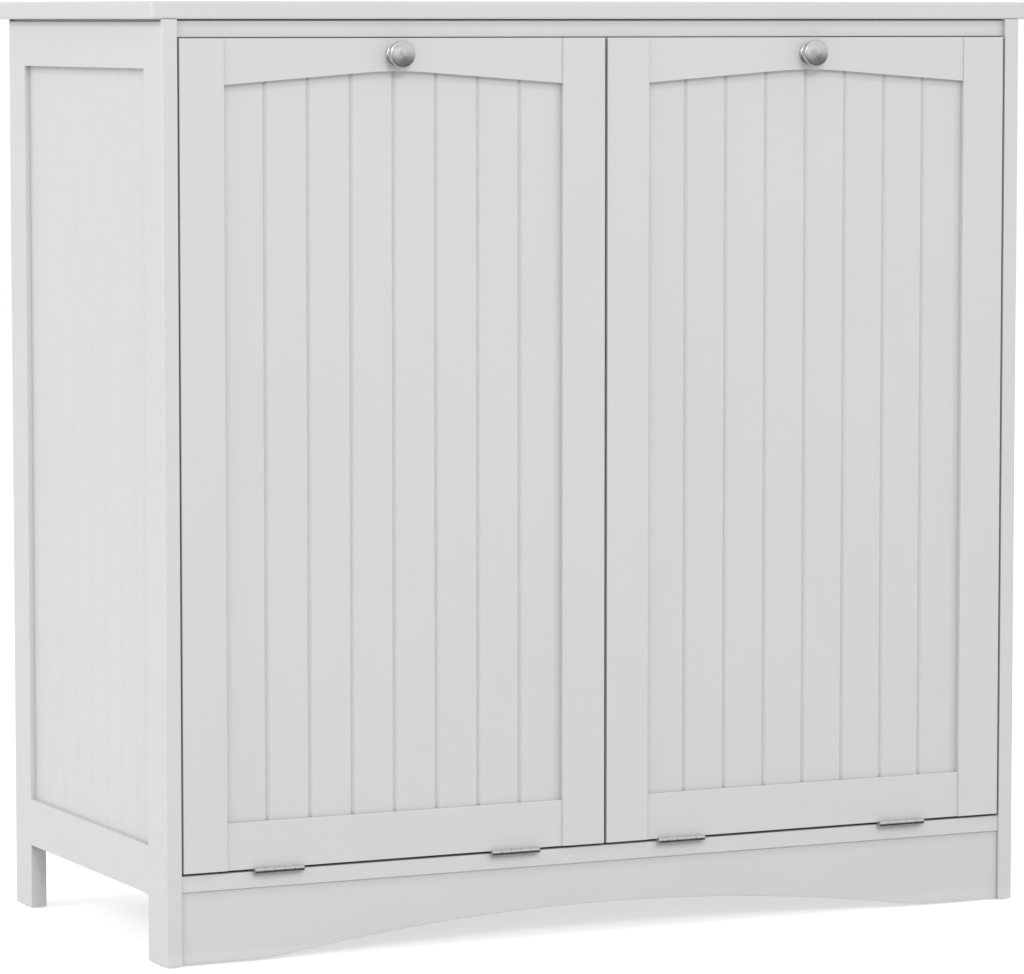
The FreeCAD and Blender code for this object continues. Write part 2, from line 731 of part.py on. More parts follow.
# Hardware on the cabinet: hinge leaves and pins, catches with their magnets, and guides for the stays.
fixed_leaves = []
pins = []
catches = []
magnets = []
guides = []
stay_x = {
    LEFT: door_left_x[LEFT] + s.stay_inset,
    RIGHT: door_left_x[RIGHT] + door_width - s.stay_inset - s.stay_thickness,
}
for hand, side in SIDES:
    for number, x in enumerate(hinge_x[side]):
        name = "%s_hinge_%d" % (hand, number)
        fixed_leaves.append(make_leaf(name + "_fixed_leaf", x, moving=False))
        pins.append(solid_cylinder(name + "_pin", s.pin_diameter / 2, s.hinge_length,
                                   x - s.hinge_length / 2, axis_y, axis_z, ALONG["+X"]))

    catch = new_body(hand + "_catch", catch_x[side], catch_y, rail_under)
    add_box(catch, "Additive", (s.catch_body_length, s.catch_depth, s.catch_height),
            -s.catch_body_length / 2, 0, -s.catch_height)
    ease(catch, s.edge_radius, "Z-", "X- Y+", "X+ Y+", "X- Y-", "X+ Y-")
    add_box(catch, "Additive", (s.catch_length, s.catch_depth, s.catch_ear_thickness),
            -s.catch_length / 2, 0, -s.catch_ear_thickness)
    magnet_size = (s.magnet_length, s.magnet_depth, s.magnet_height)
    magnet_z = -(s.catch_height + s.magnet_height) / 2
    add_box(catch, "Subtractive", magnet_size, -s.magnet_length / 2, 0, magnet_z)
    catches.append(catch)
    magnets.append(solid_box(hand + "_magnet", magnet_size, catch_x[side] - s.magnet_length / 2, catch_y,
                             rail_under + magnet_z))

    guide_length = s.door_side_gap + s.stay_inset + s.stay_thickness + s.guide_wall
    guide_x = {LEFT: -inner_half, RIGHT: inner_half - guide_length}[side]
    ear_x = {LEFT: -inner_half, RIGHT: inner_half - s.guide_ear_thickness}[side]
    ear_height = s.guide_height + 2 * s.guide_ear
    housing = solid_box(hand + "_guide_housing", (guide_length, s.guide_depth, s.guide_height),
                        guide_x, front + s.guide_setback, guide_z - s.guide_height / 2)
    ears = solid_box(hand + "_guide_ears", (s.guide_ear_thickness, s.guide_depth, ear_height),
                     ear_x, front + s.guide_setback, guide_z - ear_height / 2)
    slot_width = s.stay_thickness + 2 * s.stay_clearance
    slot_x = stay_x[side] + s.stay_thickness + s.stay_clearance
    half_slot = s.stay_width / 2 + s.stay_clearance
    slot = boolean("Cut", hand + "_guide_slot",
                   solid_cylinder(hand + "_guide_slot_outer", s.stay_radius + half_slot, slot_width,
                                  slot_x, axis_y, axis_z, SWEEP_BACK),
                   solid_cylinder(hand + "_guide_slot_inner", s.stay_radius - half_slot, slot_width,
                                  slot_x, axis_y, axis_z, SWEEP_BACK))
    block = boolean("Fuse", hand + "_guide_blank", housing, ears)
    guides.append(boolean("Cut", hand + "_guide", block, slot))

publish("hinge_fixed_leaves", gather("Compound", "fixed_leaves", fixed_leaves), cabinet_holes)
publish("hinge_pins", gather("Compound", "hinge_pins", pins))
publish("magnetic_catches", gather("Compound", "catches", catches), cabinet_holes)
publish("catch_magnets", gather("Compound", "catch_magnets", magnets))
publish("stay_guides", gather("Compound", "guides", guides), cabinet_holes)


def make_stay(hand, side):
    """Flat arc about the hinge axis, with a screwed foot on the door and a round stop at its far end."""
    x = stay_x[side]
    high_x = x + s.stay_thickness
    outer = solid_cylinder(hand + "_stay_outer", s.stay_radius + s.stay_width / 2, s.stay_thickness,
                           high_x, axis_y, axis_z, SWEEP_BACK)
    bind(outer, Angle=stay_stop_angle)
    inner = solid_cylinder(hand + "_stay_inner", s.stay_radius - s.stay_width / 2, s.stay_thickness,
                           high_x, axis_y, axis_z, SWEEP_BACK)
    arc = boolean("Cut", hand + "_stay_arc", outer, inner)
    ahead = axis_out + s.door_thickness + s.stay_width
    trim = solid_box(hand + "_stay_trim", (3 * s.stay_thickness, ahead, 2 * s.stay_width),
                     x - s.stay_thickness, door_back - ahead, axis_z + s.stay_radius - s.stay_width)
    foot_x = x if side == LEFT else high_x - s.stay_foot_width
    foot = solid_box(hand + "_stay_foot", (s.stay_foot_width, s.stay_thickness, s.stay_foot_height),
                     foot_x, door_back, axis_z + s.stay_radius - s.stay_foot_height / 2)
    stop = solid_cylinder(hand + "_stay_stop", s.stay_stop_radius, s.stay_thickness, high_x,
                          axis_y + s.stay_radius * sine(stay_stop_angle),
                          axis_z + s.stay_radius * cosine(stay_stop_angle), SWEEP_BACK)
    arm = boolean("Cut", hand + "_stay_arm_blank", arc, trim)
    return gather("MultiFuse", hand + "_stay", [arm, foot, stop])


def make_saddle(label, x, z):
    """Folded strap over a rod that lies on the back of the door."""
    inner = rod_radius + s.saddle_clearance
    outer = inner + s.saddle_thickness
    ear = outer + s.saddle_ear
    height = 2 * rod_radius + s.saddle_clearance
    body = new_body(label, x, door_back, z)
    strap = draw(
        new_sketch(body, "strap", "XY_Plane"),
        [(-ear, 0), (-inner, 0), (-inner, height), (inner, height), (inner, 0), (ear, 0),
         (ear, s.saddle_thickness), (outer, s.saddle_thickness), (outer, height + s.saddle_thickness),
         (-outer, height + s.saddle_thickness), (-outer, s.saddle_thickness), (-ear, s.saddle_thickness)],
    )
    extrude(body, "Pad", strap, s.saddle_height)
    return body


def make_frame(label, centre):
    """Bent rod: a level U with both ends turned down the stiles, and a cross rod behind the door."""
    body = new_body(label, centre, front + frame_start, frame_z)
    length = frame_rear - frame_start
    corner = s.rod_corner_radius
    paths = [draw(
        new_sketch(body, "hoop_path", "XY_Plane"),
        [(-frame_half, 0), (-frame_half, length - corner), (corner - frame_half, length),
         (frame_half - corner, length), (frame_half, length - corner), (frame_half, 0)],
        {1: -corner, 3: -corner}, closed=False,
    )]
    starts = [-frame_half]
    for number, x in enumerate((-frame_half, frame_half)):
        path = new_sketch(body, "leg_path_%d" % number, "YZ_Plane", lift=x)
        paths.append(draw(
            path,
            [(0, 0), (-s.rod_bend_radius, -s.rod_bend_radius), (-s.rod_bend_radius, -s.rod_leg_length)],
            {0: s.rod_bend_radius}, closed=False,
        ))
        starts.append(x)
    for number, (path, x) in enumerate(zip(paths, starts)):
        section = new_sketch(body, "section_%d" % number, "XZ_Plane")
        circle = Part.Circle(FreeCAD.Vector(x.value, 0, 0), FreeCAD.Vector(0, 0, 1), rod_radius.value)
        ring = section.addGeometry(circle)
        limit = section.addConstraint(Sketcher.Constraint("Radius", ring, rod_radius.value))
        section.setExpression("Constraints[%d]" % limit, rod_radius.text)
        pin_point(section, ring, 3, x, 0)
        doc.recompute()
        pipe = add_feature(body, "AdditivePipe", "pipe")
        pipe.Profile = section
        pipe.Spine = path
    add_cylinder(body, "Additive", rod_radius, 2 * frame_half,
                 -frame_half, frame_cross - frame_start, 0, "+X")
    return body


def make_bag(label, centre):
    """Open-topped bag that tapers downwards, with a cuff folded over the rods and slit at the front."""
    half_depth = (frame_rear - frame_cross) / 2
    low = floor_top + s.bag_floor_gap
    height = frame_z + rod_radius + s.bag_clearance + s.bag_wall - low
    body = new_body(label, centre, front + frame_cross + half_depth, low)
    inset = rod_radius + s.bag_clearance
    wall_in = inset + s.bag_wall
    inner_front = s.bag_front_radius - s.bag_wall

    def ring(offset, front_radius, taper=0):
        half_u = frame_half + offset - taper
        half_v = half_depth + offset - taper
        return rounded_box(half_u, half_v, front_radius, s.rod_corner_radius + offset)

    def loft(kind, low_lift, offset, front_radius):
        lower = new_sketch(body, kind + "_base", "XY_Plane", lift=low_lift)
        upper = new_sketch(body, kind + "_mouth", "XY_Plane", lift=height)
        feature = add_feature(body, kind + "Loft", "walls")
        feature.Profile = draw(lower, *ring(offset, front_radius, s.bag_taper))
        feature.Sections = [draw(upper, *ring(offset, front_radius))]
        feature.Ruled = True

    cuff_low = height - s.cuff_height
    loft("Additive", 0, -inset, s.bag_front_radius)
    cuff = draw(new_sketch(body, "cuff", "XY_Plane", lift=cuff_low), *ring(wall_in, s.cuff_front_radius))
    extrude(body, "Pad", cuff, s.cuff_height)
    channel = draw(new_sketch(body, "channel", "XY_Plane", lift=cuff_low), *ring(inset, s.cuff_front_radius))
    draw(channel, *ring(-inset, s.bag_front_radius))
    extrude(body, "Pocket", channel, s.cuff_height - s.bag_wall, reverse=True)
    loft("Subtractive", s.bag_wall, -wall_in, inner_front)
    slit = 2 * inset + s.bag_wall + 2
    for x in (-frame_half - slit / 2, frame_half - slit / 2):
        add_box(body, "Subtractive", (slit, wall_in, s.cuff_height - s.bag_wall),
                x, -half_depth - wall_in - 1, cuff_low)
    return body


# The doors with everything that tilts with them.
for hand, side in SIDES:
    left_x = door_left_x[side]
    centre = door_centre_x[side]
    saddle_spots = []
    rod_screw = rod_radius + s.saddle_clearance + s.saddle_thickness + s.saddle_ear / 2
    for rod in (centre - frame_half, centre + frame_half):
        for drop in (2 * s.rod_bend_radius, s.rod_leg_length - s.rod_bend_radius / 2):
            saddle_spots.append((rod, frame_z - drop - s.saddle_height / 2))
    spots = [(rod + end * rod_screw, door_back + s.saddle_thickness, z + s.saddle_height / 2, "-Y")
             for rod, z in saddle_spots for end in (-1, 1)]
    for end in (-1, 1):
        for x in hinge_x[side]:
            spots.append((x + end * s.hinge_screw_spread / 2, screw_y, door_base - s.leaf_thickness, "+Z"))
        foot_x = stay_x[side] + s.stay_thickness / 2 - side * (s.stay_foot_width / 2 + 2)
        spots.append((foot_x, door_back + s.stay_thickness,
                      axis_z + s.stay_radius + end * s.stay_foot_height / 3, "-Y"))
        spots.append((catch_x[side] + end * s.strike_length / 3, door_back + s.strike_thickness,
                      door_crest - s.strike_height / 2 - 2, "-Y"))
    screws, holes = make_screws(hand + "_door", spots)
    publish(hand + "_door_screws", screws)

    for end in ("left", "right"):
        label = "%s_door_%s_stile" % (hand, end)
        stile_x = left_x if end == "left" else left_x + door_width - s.stile_width
        stile = board(label, (s.stile_width, s.door_thickness, door_height), stile_x, front, door_base)
        ease(stile, s.edge_radius, "X- Y-", "X+ Y-")
        add_box(stile, "Subtractive", (s.groove_depth, door_groove, door_height),
                s.stile_width - s.groove_depth if end == "left" else 0, s.door_panel_recess, 0)
        publish(label, stile, holes)

    rail_thickness = s.door_thickness - s.rail_setback
    rail_y = front + s.rail_setback
    groove_y = s.door_panel_recess - s.rail_setback
    tongue_run = door_rail_run + 2 * tongue
    label = hand + "_door_bottom_rail"
    rail = board(label, (door_rail_run, rail_thickness, s.door_bottom_rail_height),
                 left_x + s.stile_width, rail_y, door_base)
    ease(rail, s.edge_radius, "Y- Z+")
    add_box(rail, "Additive", (tongue_run, s.door_panel_thickness, s.door_bottom_rail_height),
            -tongue, groove_y, 0)
    add_box(rail, "Subtractive", (tongue_run, door_groove, s.groove_depth), -tongue, groove_y,
            s.door_bottom_rail_height - s.groove_depth)
    publish(label, rail, holes)

    label = hand + "_door_top_rail"
    rail = new_body(label, centre, rail_y, door_crest - s.door_top_rail_height)
    half_run = door_rail_run / 2
    half_crown = s.door_arch_crown_width / 2
    slope = s.door_arch_rise / (half_run - half_crown / 2)
    crown_z = (half_run - half_crown) * slope
    outline = draw(
        new_sketch(rail, "outline", "XZ_Plane"),
        [(-half_run, 0), (-half_crown, crown_z), (half_crown, crown_z), (half_run, 0),
         (half_run, s.door_top_rail_height), (-half_run, s.door_top_rail_height)],
        {1: -arc_radius(half_crown, s.door_arch_rise - crown_z)},
    )
    extrude(rail, "Pad", outline, rail_thickness, reverse=True)
    panel_room = s.door_arch_rise + s.groove_depth
    add_box(rail, "Additive", (tongue_run, s.door_panel_thickness, s.door_top_rail_height - panel_room),
            -half_run - tongue, groove_y, panel_room)
    add_box(rail, "Subtractive", (tongue_run, door_groove, panel_room), -half_run - tongue, groove_y, 0)
    knob_z = door_crest - s.knob_drop
    add_cylinder(rail, "Subtractive", s.knob_screw_diameter / 2 + s.groove_clearance, rail_thickness,
                 0, 0, s.door_top_rail_height - s.knob_drop, "+Y")
    publish(label, rail, holes)

    label = hand + "_door_panel"
    panel_low = door_base + s.door_bottom_rail_height - tongue
    panel_height = door_crest - s.door_top_rail_height + s.door_arch_rise + tongue - panel_low
    panel = new_body(label, centre, front + s.door_panel_recess, panel_low)
    add_box(panel, "Additive", (tongue_run, s.door_panel_thickness, panel_height), -tongue_run / 2, 0, 0)
    first = -s.bead_pitch * (DOOR_BEAD_COUNT - 1) / 2
    cut_beads(panel, [(first - s.bead_width / 2, 0), (first + s.bead_width / 2, 0), (first, s.bead_depth)],
              panel_height, "H_Axis", s.bead_pitch * (DOOR_BEAD_COUNT - 1), DOOR_BEAD_COUNT)
    publish(label, panel)

    knob = new_body(hand + "_knob", centre, rail_y, knob_z)
    bore = s.knob_screw_diameter / 2 + s.fastener_fit
    base = s.knob_base_diameter / 2
    neck_y = -0.62 * s.knob_length
    face_y = -0.88 * s.knob_length
    lip = 0.45 * s.knob_diameter
    rim = s.knob_diameter / 2 - lip
    cove = (s.knob_flange + neck_y) / 2
    revolve(knob,
            [(0, bore), (0, base), (-s.knob_flange, base), (neck_y, lip), (face_y, lip), (-s.knob_length, 0),
             (-s.knob_screw_grip - 1, 0), (-s.knob_screw_grip - 1, bore)],
            {2: -arc_radius(-cove, 0.1 * s.knob_diameter), 3: arc_radius((neck_y - face_y) / 2, rim),
             4: arc_radius(lip, s.knob_length + face_y)})
    publish(hand + "_knob", knob)

    screw = new_body(hand + "_knob_screw", centre, door_back, knob_z)
    shank = s.knob_screw_diameter / 2
    head = s.knob_screw_head_diameter / 2
    rise = s.knob_screw_head_height
    tip_y = -rail_thickness - s.knob_screw_grip
    revolve(screw,
            [(tip_y, 0), (tip_y, shank), (0, shank), (0, head), (rise / 2, head), (rise, 0)],
            {4: -arc_radius(head, rise / 2)})
    publish(hand + "_knob_screw", screw)

    leaves = [make_leaf("%s_hinge_%d_door_leaf" % (hand, number), x, moving=True)
              for number, x in enumerate(hinge_x[side])]
    publish(hand + "_hinge_leaves", gather("Compound", hand + "_door_leaves", leaves), holes)

    saddles = [make_saddle("%s_saddle_%d" % (hand, number), rod, z)
               for number, (rod, z) in enumerate(saddle_spots)]
    publish(hand + "_frame_saddles", gather("Compound", hand + "_saddles", saddles), holes)

    publish(hand + "_bag_frame", make_frame(hand + "_bag_frame", centre))
    publish(hand + "_bag", make_bag(hand + "_bag", centre))

    strike = board(hand + "_strike", (s.strike_length, s.strike_thickness, s.strike_height),
                   catch_x[side] - s.strike_length / 2, door_back, door_crest - s.strike_height - 2)
    publish(hand + "_strike_plate", strike, holes)
    publish(hand + "_stay_arm", make_stay(hand, side), holes)

doc.recompute()

for item in doc.Objects:
    if "Invalid" in item.State or "Error" in item.State:
        raise RuntimeError("%s did not build: %s" % (item.Label, item.State))
for item in nodes:
    if item.Shape.isNull() or not item.Shape.isValid() or not item.Shape.Solids:
        raise RuntimeError(item.Label + " has no valid solid")

os.makedirs("parts", exist_ok=True)
for item in nodes:
    item.Shape.exportStep("parts/%s.step" % item.Label)
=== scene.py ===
"""Dresses the laundry hamper cabinet: painted boards, metal fittings, cloth bags and a plain studio."""

import json
import math

import bmesh
import bpy
from bpy.props import FloatProperty, FloatVectorProperty, IntProperty, PointerProperty
from mathutils import Euler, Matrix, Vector, noise
from mathutils.bvhtree import BVHTree


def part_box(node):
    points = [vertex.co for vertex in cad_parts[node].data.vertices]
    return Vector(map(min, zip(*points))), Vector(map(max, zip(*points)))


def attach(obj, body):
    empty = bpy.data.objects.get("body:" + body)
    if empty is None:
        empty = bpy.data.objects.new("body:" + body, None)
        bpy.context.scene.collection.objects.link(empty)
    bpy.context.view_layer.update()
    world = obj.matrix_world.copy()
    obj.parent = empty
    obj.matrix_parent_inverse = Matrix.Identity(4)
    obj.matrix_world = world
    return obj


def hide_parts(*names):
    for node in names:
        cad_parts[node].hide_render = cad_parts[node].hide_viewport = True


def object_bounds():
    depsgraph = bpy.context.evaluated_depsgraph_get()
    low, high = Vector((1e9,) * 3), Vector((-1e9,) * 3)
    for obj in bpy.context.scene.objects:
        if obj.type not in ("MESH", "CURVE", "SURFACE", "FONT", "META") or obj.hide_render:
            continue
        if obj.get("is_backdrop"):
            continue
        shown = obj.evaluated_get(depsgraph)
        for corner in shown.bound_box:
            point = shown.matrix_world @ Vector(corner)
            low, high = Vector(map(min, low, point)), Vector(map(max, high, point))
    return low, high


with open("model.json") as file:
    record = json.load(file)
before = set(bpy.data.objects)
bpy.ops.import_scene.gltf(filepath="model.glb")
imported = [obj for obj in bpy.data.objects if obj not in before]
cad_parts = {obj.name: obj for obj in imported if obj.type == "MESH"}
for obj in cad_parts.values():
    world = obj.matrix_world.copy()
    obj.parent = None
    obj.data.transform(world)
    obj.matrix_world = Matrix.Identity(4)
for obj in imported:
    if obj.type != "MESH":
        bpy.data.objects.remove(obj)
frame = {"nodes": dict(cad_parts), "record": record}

bl_info = {
    "name": "Laundry hamper cabinet",
    "version": (1, 0, 0),
    "blender": (4, 5, 0),
    "location": "View3D > Sidebar > Hamper",
    "description": "Finishes, screws and cloth bags for a tilt-out laundry hamper cabinet",
    "category": "Object",
}

HANDS = ("left", "right")
CANVAS = {"quality": 8, "mass": 0.25, "tension_stiffness": 25.0, "compression_stiffness": 25.0,
          "shear_stiffness": 12.0, "bending_stiffness": 0.6, "air_damping": 6.0}
FLOOR_HALF = 9.0
CARD_HEIGHT, CARD_END = 0.01, -0.196
LAMPS = {"Key lamp": ((-1.45, -7.4, 4.3), (2.0, 1.6)), "Side lamp": ((-4.0, -0.15, 3.0), (1.4, 1.2)),
         "Knob lamp": ((-0.9, -4.4, 1.4), (1.5, 0.4))}
SLOT_NODES = {}
for subpart in frame["record"]["subparts"]:
    SLOT_NODES.setdefault(subpart["material_slot"], []).append(subpart["node"])


class PaintFinish(bpy.types.PropertyGroup):
    """Satin paint on the boards and the moulded plastic beside it."""

    colour: FloatVectorProperty(
        name="Paint", description="Colour of the satin paint", subtype="COLOR", min=0, max=1,
        default=(0.72, 0.72, 0.72),
    )
    plastic_colour: FloatVectorProperty(
        name="Plastic", description="Colour of the catches, guides and glides", subtype="COLOR", min=0, max=1,
        default=(0.72, 0.72, 0.70),
    )
    stipple: FloatProperty(
        name="Stipple", description="Width of the roller's stipple", unit="LENGTH",
        default=0.0013, min=0.0001,
    )
    edge_radius: FloatProperty(
        name="Edge", description="Radius of the paint on sharp edges", unit="LENGTH", default=0.0007, min=0,
    )
    # Painted shade beside a neighbouring board: how far it reaches and how much darker it makes the paint.
    shade_reach: FloatProperty(
        name="Shade reach", description="How far from a neighbouring board the paint is dulled",
        unit="LENGTH", default=0.008, min=0,
    )
    shade_darkening: FloatProperty(
        name="Shade darkening", description="How much darker the paint is right beside a neighbouring board",
        default=0.42, min=0, max=1,
    )


class MetalFinish(bpy.types.PropertyGroup):
    """Satin nickel on what shows in front, zinc plate on what is inside."""

    nickel: FloatVectorProperty(
        name="Nickel", description="Colour of the knobs and hinges", subtype="COLOR", min=0, max=1,
        default=(0.60, 0.60, 0.595),
    )
    zinc: FloatVectorProperty(
        name="Zinc", description="Colour of the screws, rods and stays", subtype="COLOR", min=0, max=1,
        default=(0.66, 0.67, 0.69),
    )
    ring_pitch: FloatProperty(
        name="Turning marks", description="Pitch of the lathe's rings on the knobs", unit="LENGTH",
        default=0.0003, min=0.00005,
    )
    recess_width: FloatProperty(
        name="Recess width", description="Width of a screw's cross recess", unit="LENGTH", default=0.0009,
    )
    recess_depth: FloatProperty(
        name="Recess depth", description="Depth of a screw's cross recess", unit="LENGTH", default=0.0007,
    )


class BagCut(bpy.types.PropertyGroup):
    """Cut and sewing of the cloth bags."""

    colour: FloatVectorProperty(
        name="Cloth", description="Colour of the canvas", subtype="COLOR", min=0, max=1,
        default=(0.66, 0.59, 0.47),
    )
    thread_colour: FloatVectorProperty(
        name="Thread", description="Colour of the sewing thread", subtype="COLOR", min=0, max=1,
        default=(0.78, 0.74, 0.66),
    )
    thickness: FloatProperty(
        name="Thickness", description="Thickness of the canvas", unit="LENGTH", default=0.0012, min=0.0003,
    )
    yarn: FloatProperty(
        name="Yarn", description="Pitch of the weave's yarns", unit="LENGTH", default=0.0013, min=0.0002,
    )
    rod: FloatProperty(
        name="Rod", description="Diameter of the rods that carry the bag", unit="LENGTH", default=0.006,
    )
    taper: FloatProperty(
        name="Taper", description="How far each wall leans in towards the base", unit="LENGTH", default=0.025,
    )
    cuff: FloatProperty(
        name="Cuff", description="Height of the cuff folded over the rods", unit="LENGTH", default=0.04,
    )
    slit: FloatProperty(
        name="Slit", description="Radius of the open front corners of the cuff", unit="LENGTH",
        default=0.0075,
    )
    grid: FloatProperty(
        name="Grid", description="Distance between the points of the draped cloth", unit="LENGTH",
        default=0.012,
    )
    slack: FloatProperty(
        name="Slack", description="Share by which the cloth is wider than the frame",
        default=0.022, min=0, max=0.2,
    )
    sag: FloatProperty(
        name="Sag", description="Most that a point of the cloth may move", unit="LENGTH", default=0.013,
    )
    frames: IntProperty(
        name="Frames", description="Steps of the drape", default=30, min=2,
    )
    stitch_pitch: FloatProperty(
        name="Stitch pitch", description="Distance between stitches", unit="LENGTH", default=0.0042,
    )
    stitch_length: FloatProperty(
        name="Stitch length", description="Length of one stitch", unit="LENGTH", default=0.0032,
    )
    stitch_thickness: FloatProperty(
        name="Stitch thickness", description="Thickness of the sewing thread", unit="LENGTH", default=0.0007,
    )


class StudioSetup(bpy.types.PropertyGroup):
    """Camera, lamps and floor."""

    camera_place: FloatVectorProperty(
        name="Camera", description="Place of the camera", subtype="XYZ", unit="LENGTH",
        default=(-2.1275, -4.5019, 0.8521),
    )
    camera_yaw: FloatProperty(
        name="Yaw", description="Turn of the camera from straight at the doors", subtype="ANGLE",
        default=math.radians(25.245),
    )
    camera_pitch: FloatProperty(
        name="Pitch", description="Tilt of the camera below the horizon", subtype="ANGLE",
        default=math.radians(5.15),
    )
    lens: FloatProperty(
        name="Lens", description="Focal length on a 36 mm sensor, in millimetres", default=182.55,
    )
    sky: FloatProperty(
        name="Sky", description="Strength of the even light all round", default=0.68, min=0,
    )
    key: FloatProperty(
        name="Key", description="Power of the large lamp in front", subtype="POWER", default=158.0, min=0,
    )
    side: FloatProperty(
        name="Side", description="Power of the large lamp on the left", subtype="POWER", default=46.5, min=0,
    )
    knob: FloatProperty(
        name="Knob", description="Power of the small lamp that the knobs mirror", subtype="POWER",
        default=5.0, min=0,
    )
    floor_glow: FloatProperty(
        name="Floor glow", description="How white the floor looks under the cabinet",
        default=0.58, min=0, max=1,
    )


class HamperSettings(bpy.types.PropertyGroup):
    """Everything that the panel shows."""

    paint: PointerProperty(type=PaintFinish)
    metal: PointerProperty(type=MetalFinish)
    bag: PointerProperty(type=BagCut)
    studio: PointerProperty(type=StudioSetup)


SURFACE = (("Color", "Color"), ("Roughness", "Float"), ("Height", "Float"))


def add(tree, kind, inputs=None, **settings):
    """Add a node. A socket among its inputs is linked, anything else is set as a value."""
    node = tree.nodes.new(kind)
    for name, value in settings.items():
        setattr(node, name, value)
    for name, value in (inputs or {}).items():
        if isinstance(value, bpy.types.NodeSocket):
            tree.links.new(value, node.inputs[name])
        else:
            node.inputs[name].default_value = value
    return node


def math_of(tree, operation, *values):
    """A number worked out from numbers."""
    return add(tree, "ShaderNodeMath", dict(enumerate(values)), operation=operation).outputs[0]


def vector_of(tree, operation, *values):
    """A vector worked out from vectors."""
    return add(tree, "ShaderNodeVectorMath", dict(enumerate(values)), operation=operation).outputs["Vector"]


def own_place(tree):
    """Where a point of the piece lies, in metres."""
    return add(tree, "ShaderNodeTexCoord").outputs["Object"]


def noise_of(tree, place, scale, detail):
    """Soft noise between 0 and 1, with about so many patches to the unit of the place."""
    return add(tree, "ShaderNodeTexNoise", {"Vector": place, "Scale": scale, "Detail": detail}).outputs["Fac"]


def wander(tree, value, spread, middle):
    """A noise turned into a number that strays from its middle, by half of the spread each way."""
    return math_of(tree, "MULTIPLY_ADD", math_of(tree, "SUBTRACT", value, 0.5), spread, middle)


def shaded(tree, colour, share):
    """A colour made lighter or darker by a share."""
    return add(tree, "ShaderNodeVectorMath", {0: colour, "Scale": share}, operation="SCALE").outputs["Vector"]


def mix_colours(tree, share, first, second):
    return add(tree, "ShaderNodeMix", {0: share, 6: first, 7: second}, data_type="RGBA").outputs[2]


def rgba(colour):
    return (*colour, 1.0)


def grey(level):
    return (level, level, level, 1.0)


def new_group(name, kind, inputs, outputs):
    """A node group with its named sockets; returns it with its input sockets and its output node."""
    group = bpy.data.node_groups.new(name, kind)
    for label, socket, default in inputs:
        item = group.interface.new_socket(label, in_out="INPUT", socket_type="NodeSocket" + socket)
        if default is not None:
            item.default_value = default
    for label, socket in outputs:
        group.interface.new_socket(label, in_out="OUTPUT", socket_type="NodeSocket" + socket)
    return group, group.nodes.new("NodeGroupInput").outputs, group.nodes.new("NodeGroupOutput")


def send(group, result, **values):
    for name, socket in values.items():
        group.links.new(socket, result.inputs[name])


def place_group(tree, name, maker, inputs):
    """Place a shared node group in a material. The first material that asks for it has it made."""
    group = bpy.data.node_groups.get(name) or maker(name)
    return add(tree, "ShaderNodeGroup", inputs, node_tree=group).outputs


def film_group(name):
    """Uneven film of paint or moulded skin: soft mottling, roughness that wanders and a fine stipple."""
    patches, clouds, gloss_spread, piece_shift = 7.0, 55.0, 0.16, 7.0
    group, given, result = new_group(
        name, "ShaderNodeTree",
        [("Color", "Color", None), ("Mottle", "Float", 0.03), ("Stipple", "Float", 0.0013),
         ("Gloss", "Float", 0.4)],
        SURFACE,
    )
    piece = add(group, "ShaderNodeObjectInfo").outputs["Random"]
    place = vector_of(group, "ADD", own_place(group), math_of(group, "MULTIPLY", piece, piece_shift))
    tint = wander(group, noise_of(group, place, patches, 3.0), given["Mottle"], 1.0)
    rough = wander(group, noise_of(group, place, clouds, 2.0), gloss_spread, given["Gloss"])
    peel = noise_of(group, place, math_of(group, "DIVIDE", 1.0, given["Stipple"]), 1.0)
    send(group, result, Color=shaded(group, given["Color"], tint), Roughness=rough, Height=peel)
    return group


def edge_group(name):
    """Paint and plating round off a sharp edge: a softened normal and a mask of the edges."""
    flat, sharp = 0.98, 0.75  # cosines of the turn between the true and the softened normal
    group, given, result = new_group(
        name, "ShaderNodeTree", [("Radius", "Float", 0.0007)], [("Normal", "Vector"), ("Edge", "Float")],
    )
    soft = add(group, "ShaderNodeBevel", {"Radius": given["Radius"]}, samples=6).outputs["Normal"]
    hard = add(group, "ShaderNodeNewGeometry").outputs["True Normal"]
    along = add(group, "ShaderNodeVectorMath", {0: soft, 1: hard}, operation="DOT_PRODUCT").outputs["Value"]
    mask = add(group, "ShaderNodeMapRange", {"Value": along, "From Min": flat, "From Max": sharp})
    send(group, result, Normal=soft, Edge=mask.outputs["Result"])
    return group


def painted_shade_group(name):
    """Painted shade: paint darkened where a neighbouring board shuts out light from above; 1 where only the
    piece is near.
    """
    lean, most = 1.4, 0.6
    group, given, result = new_group(
        name, "ShaderNodeTree", [("Reach", "Float", 0.008), ("Darkening", "Float", 0.42)], [("Shade", "Float")],
    )
    normal = add(group, "ShaderNodeNewGeometry").outputs["Normal"]
    upward = vector_of(group, "NORMALIZE", vector_of(group, "ADD", normal, (0.0, 0.0, lean)))
    look = {"Distance": given["Reach"], "Normal": upward}
    alone = add(group, "ShaderNodeAmbientOcclusion", look, samples=4, only_local=True).outputs["AO"]
    beside = add(group, "ShaderNodeAmbientOcclusion", look, samples=4).outputs["AO"]
    # The light from above that other pieces shut out, painted into the colour as shade.
    shut = math_of(group, "MAXIMUM", math_of(group, "SUBTRACT", alone, beside), 0.0)
    darkened = math_of(group, "MULTIPLY", math_of(group, "MINIMUM", shut, most), given["Darkening"])
    send(group, result, Shade=math_of(group, "SUBTRACT", 1.0, darkened))
    return group


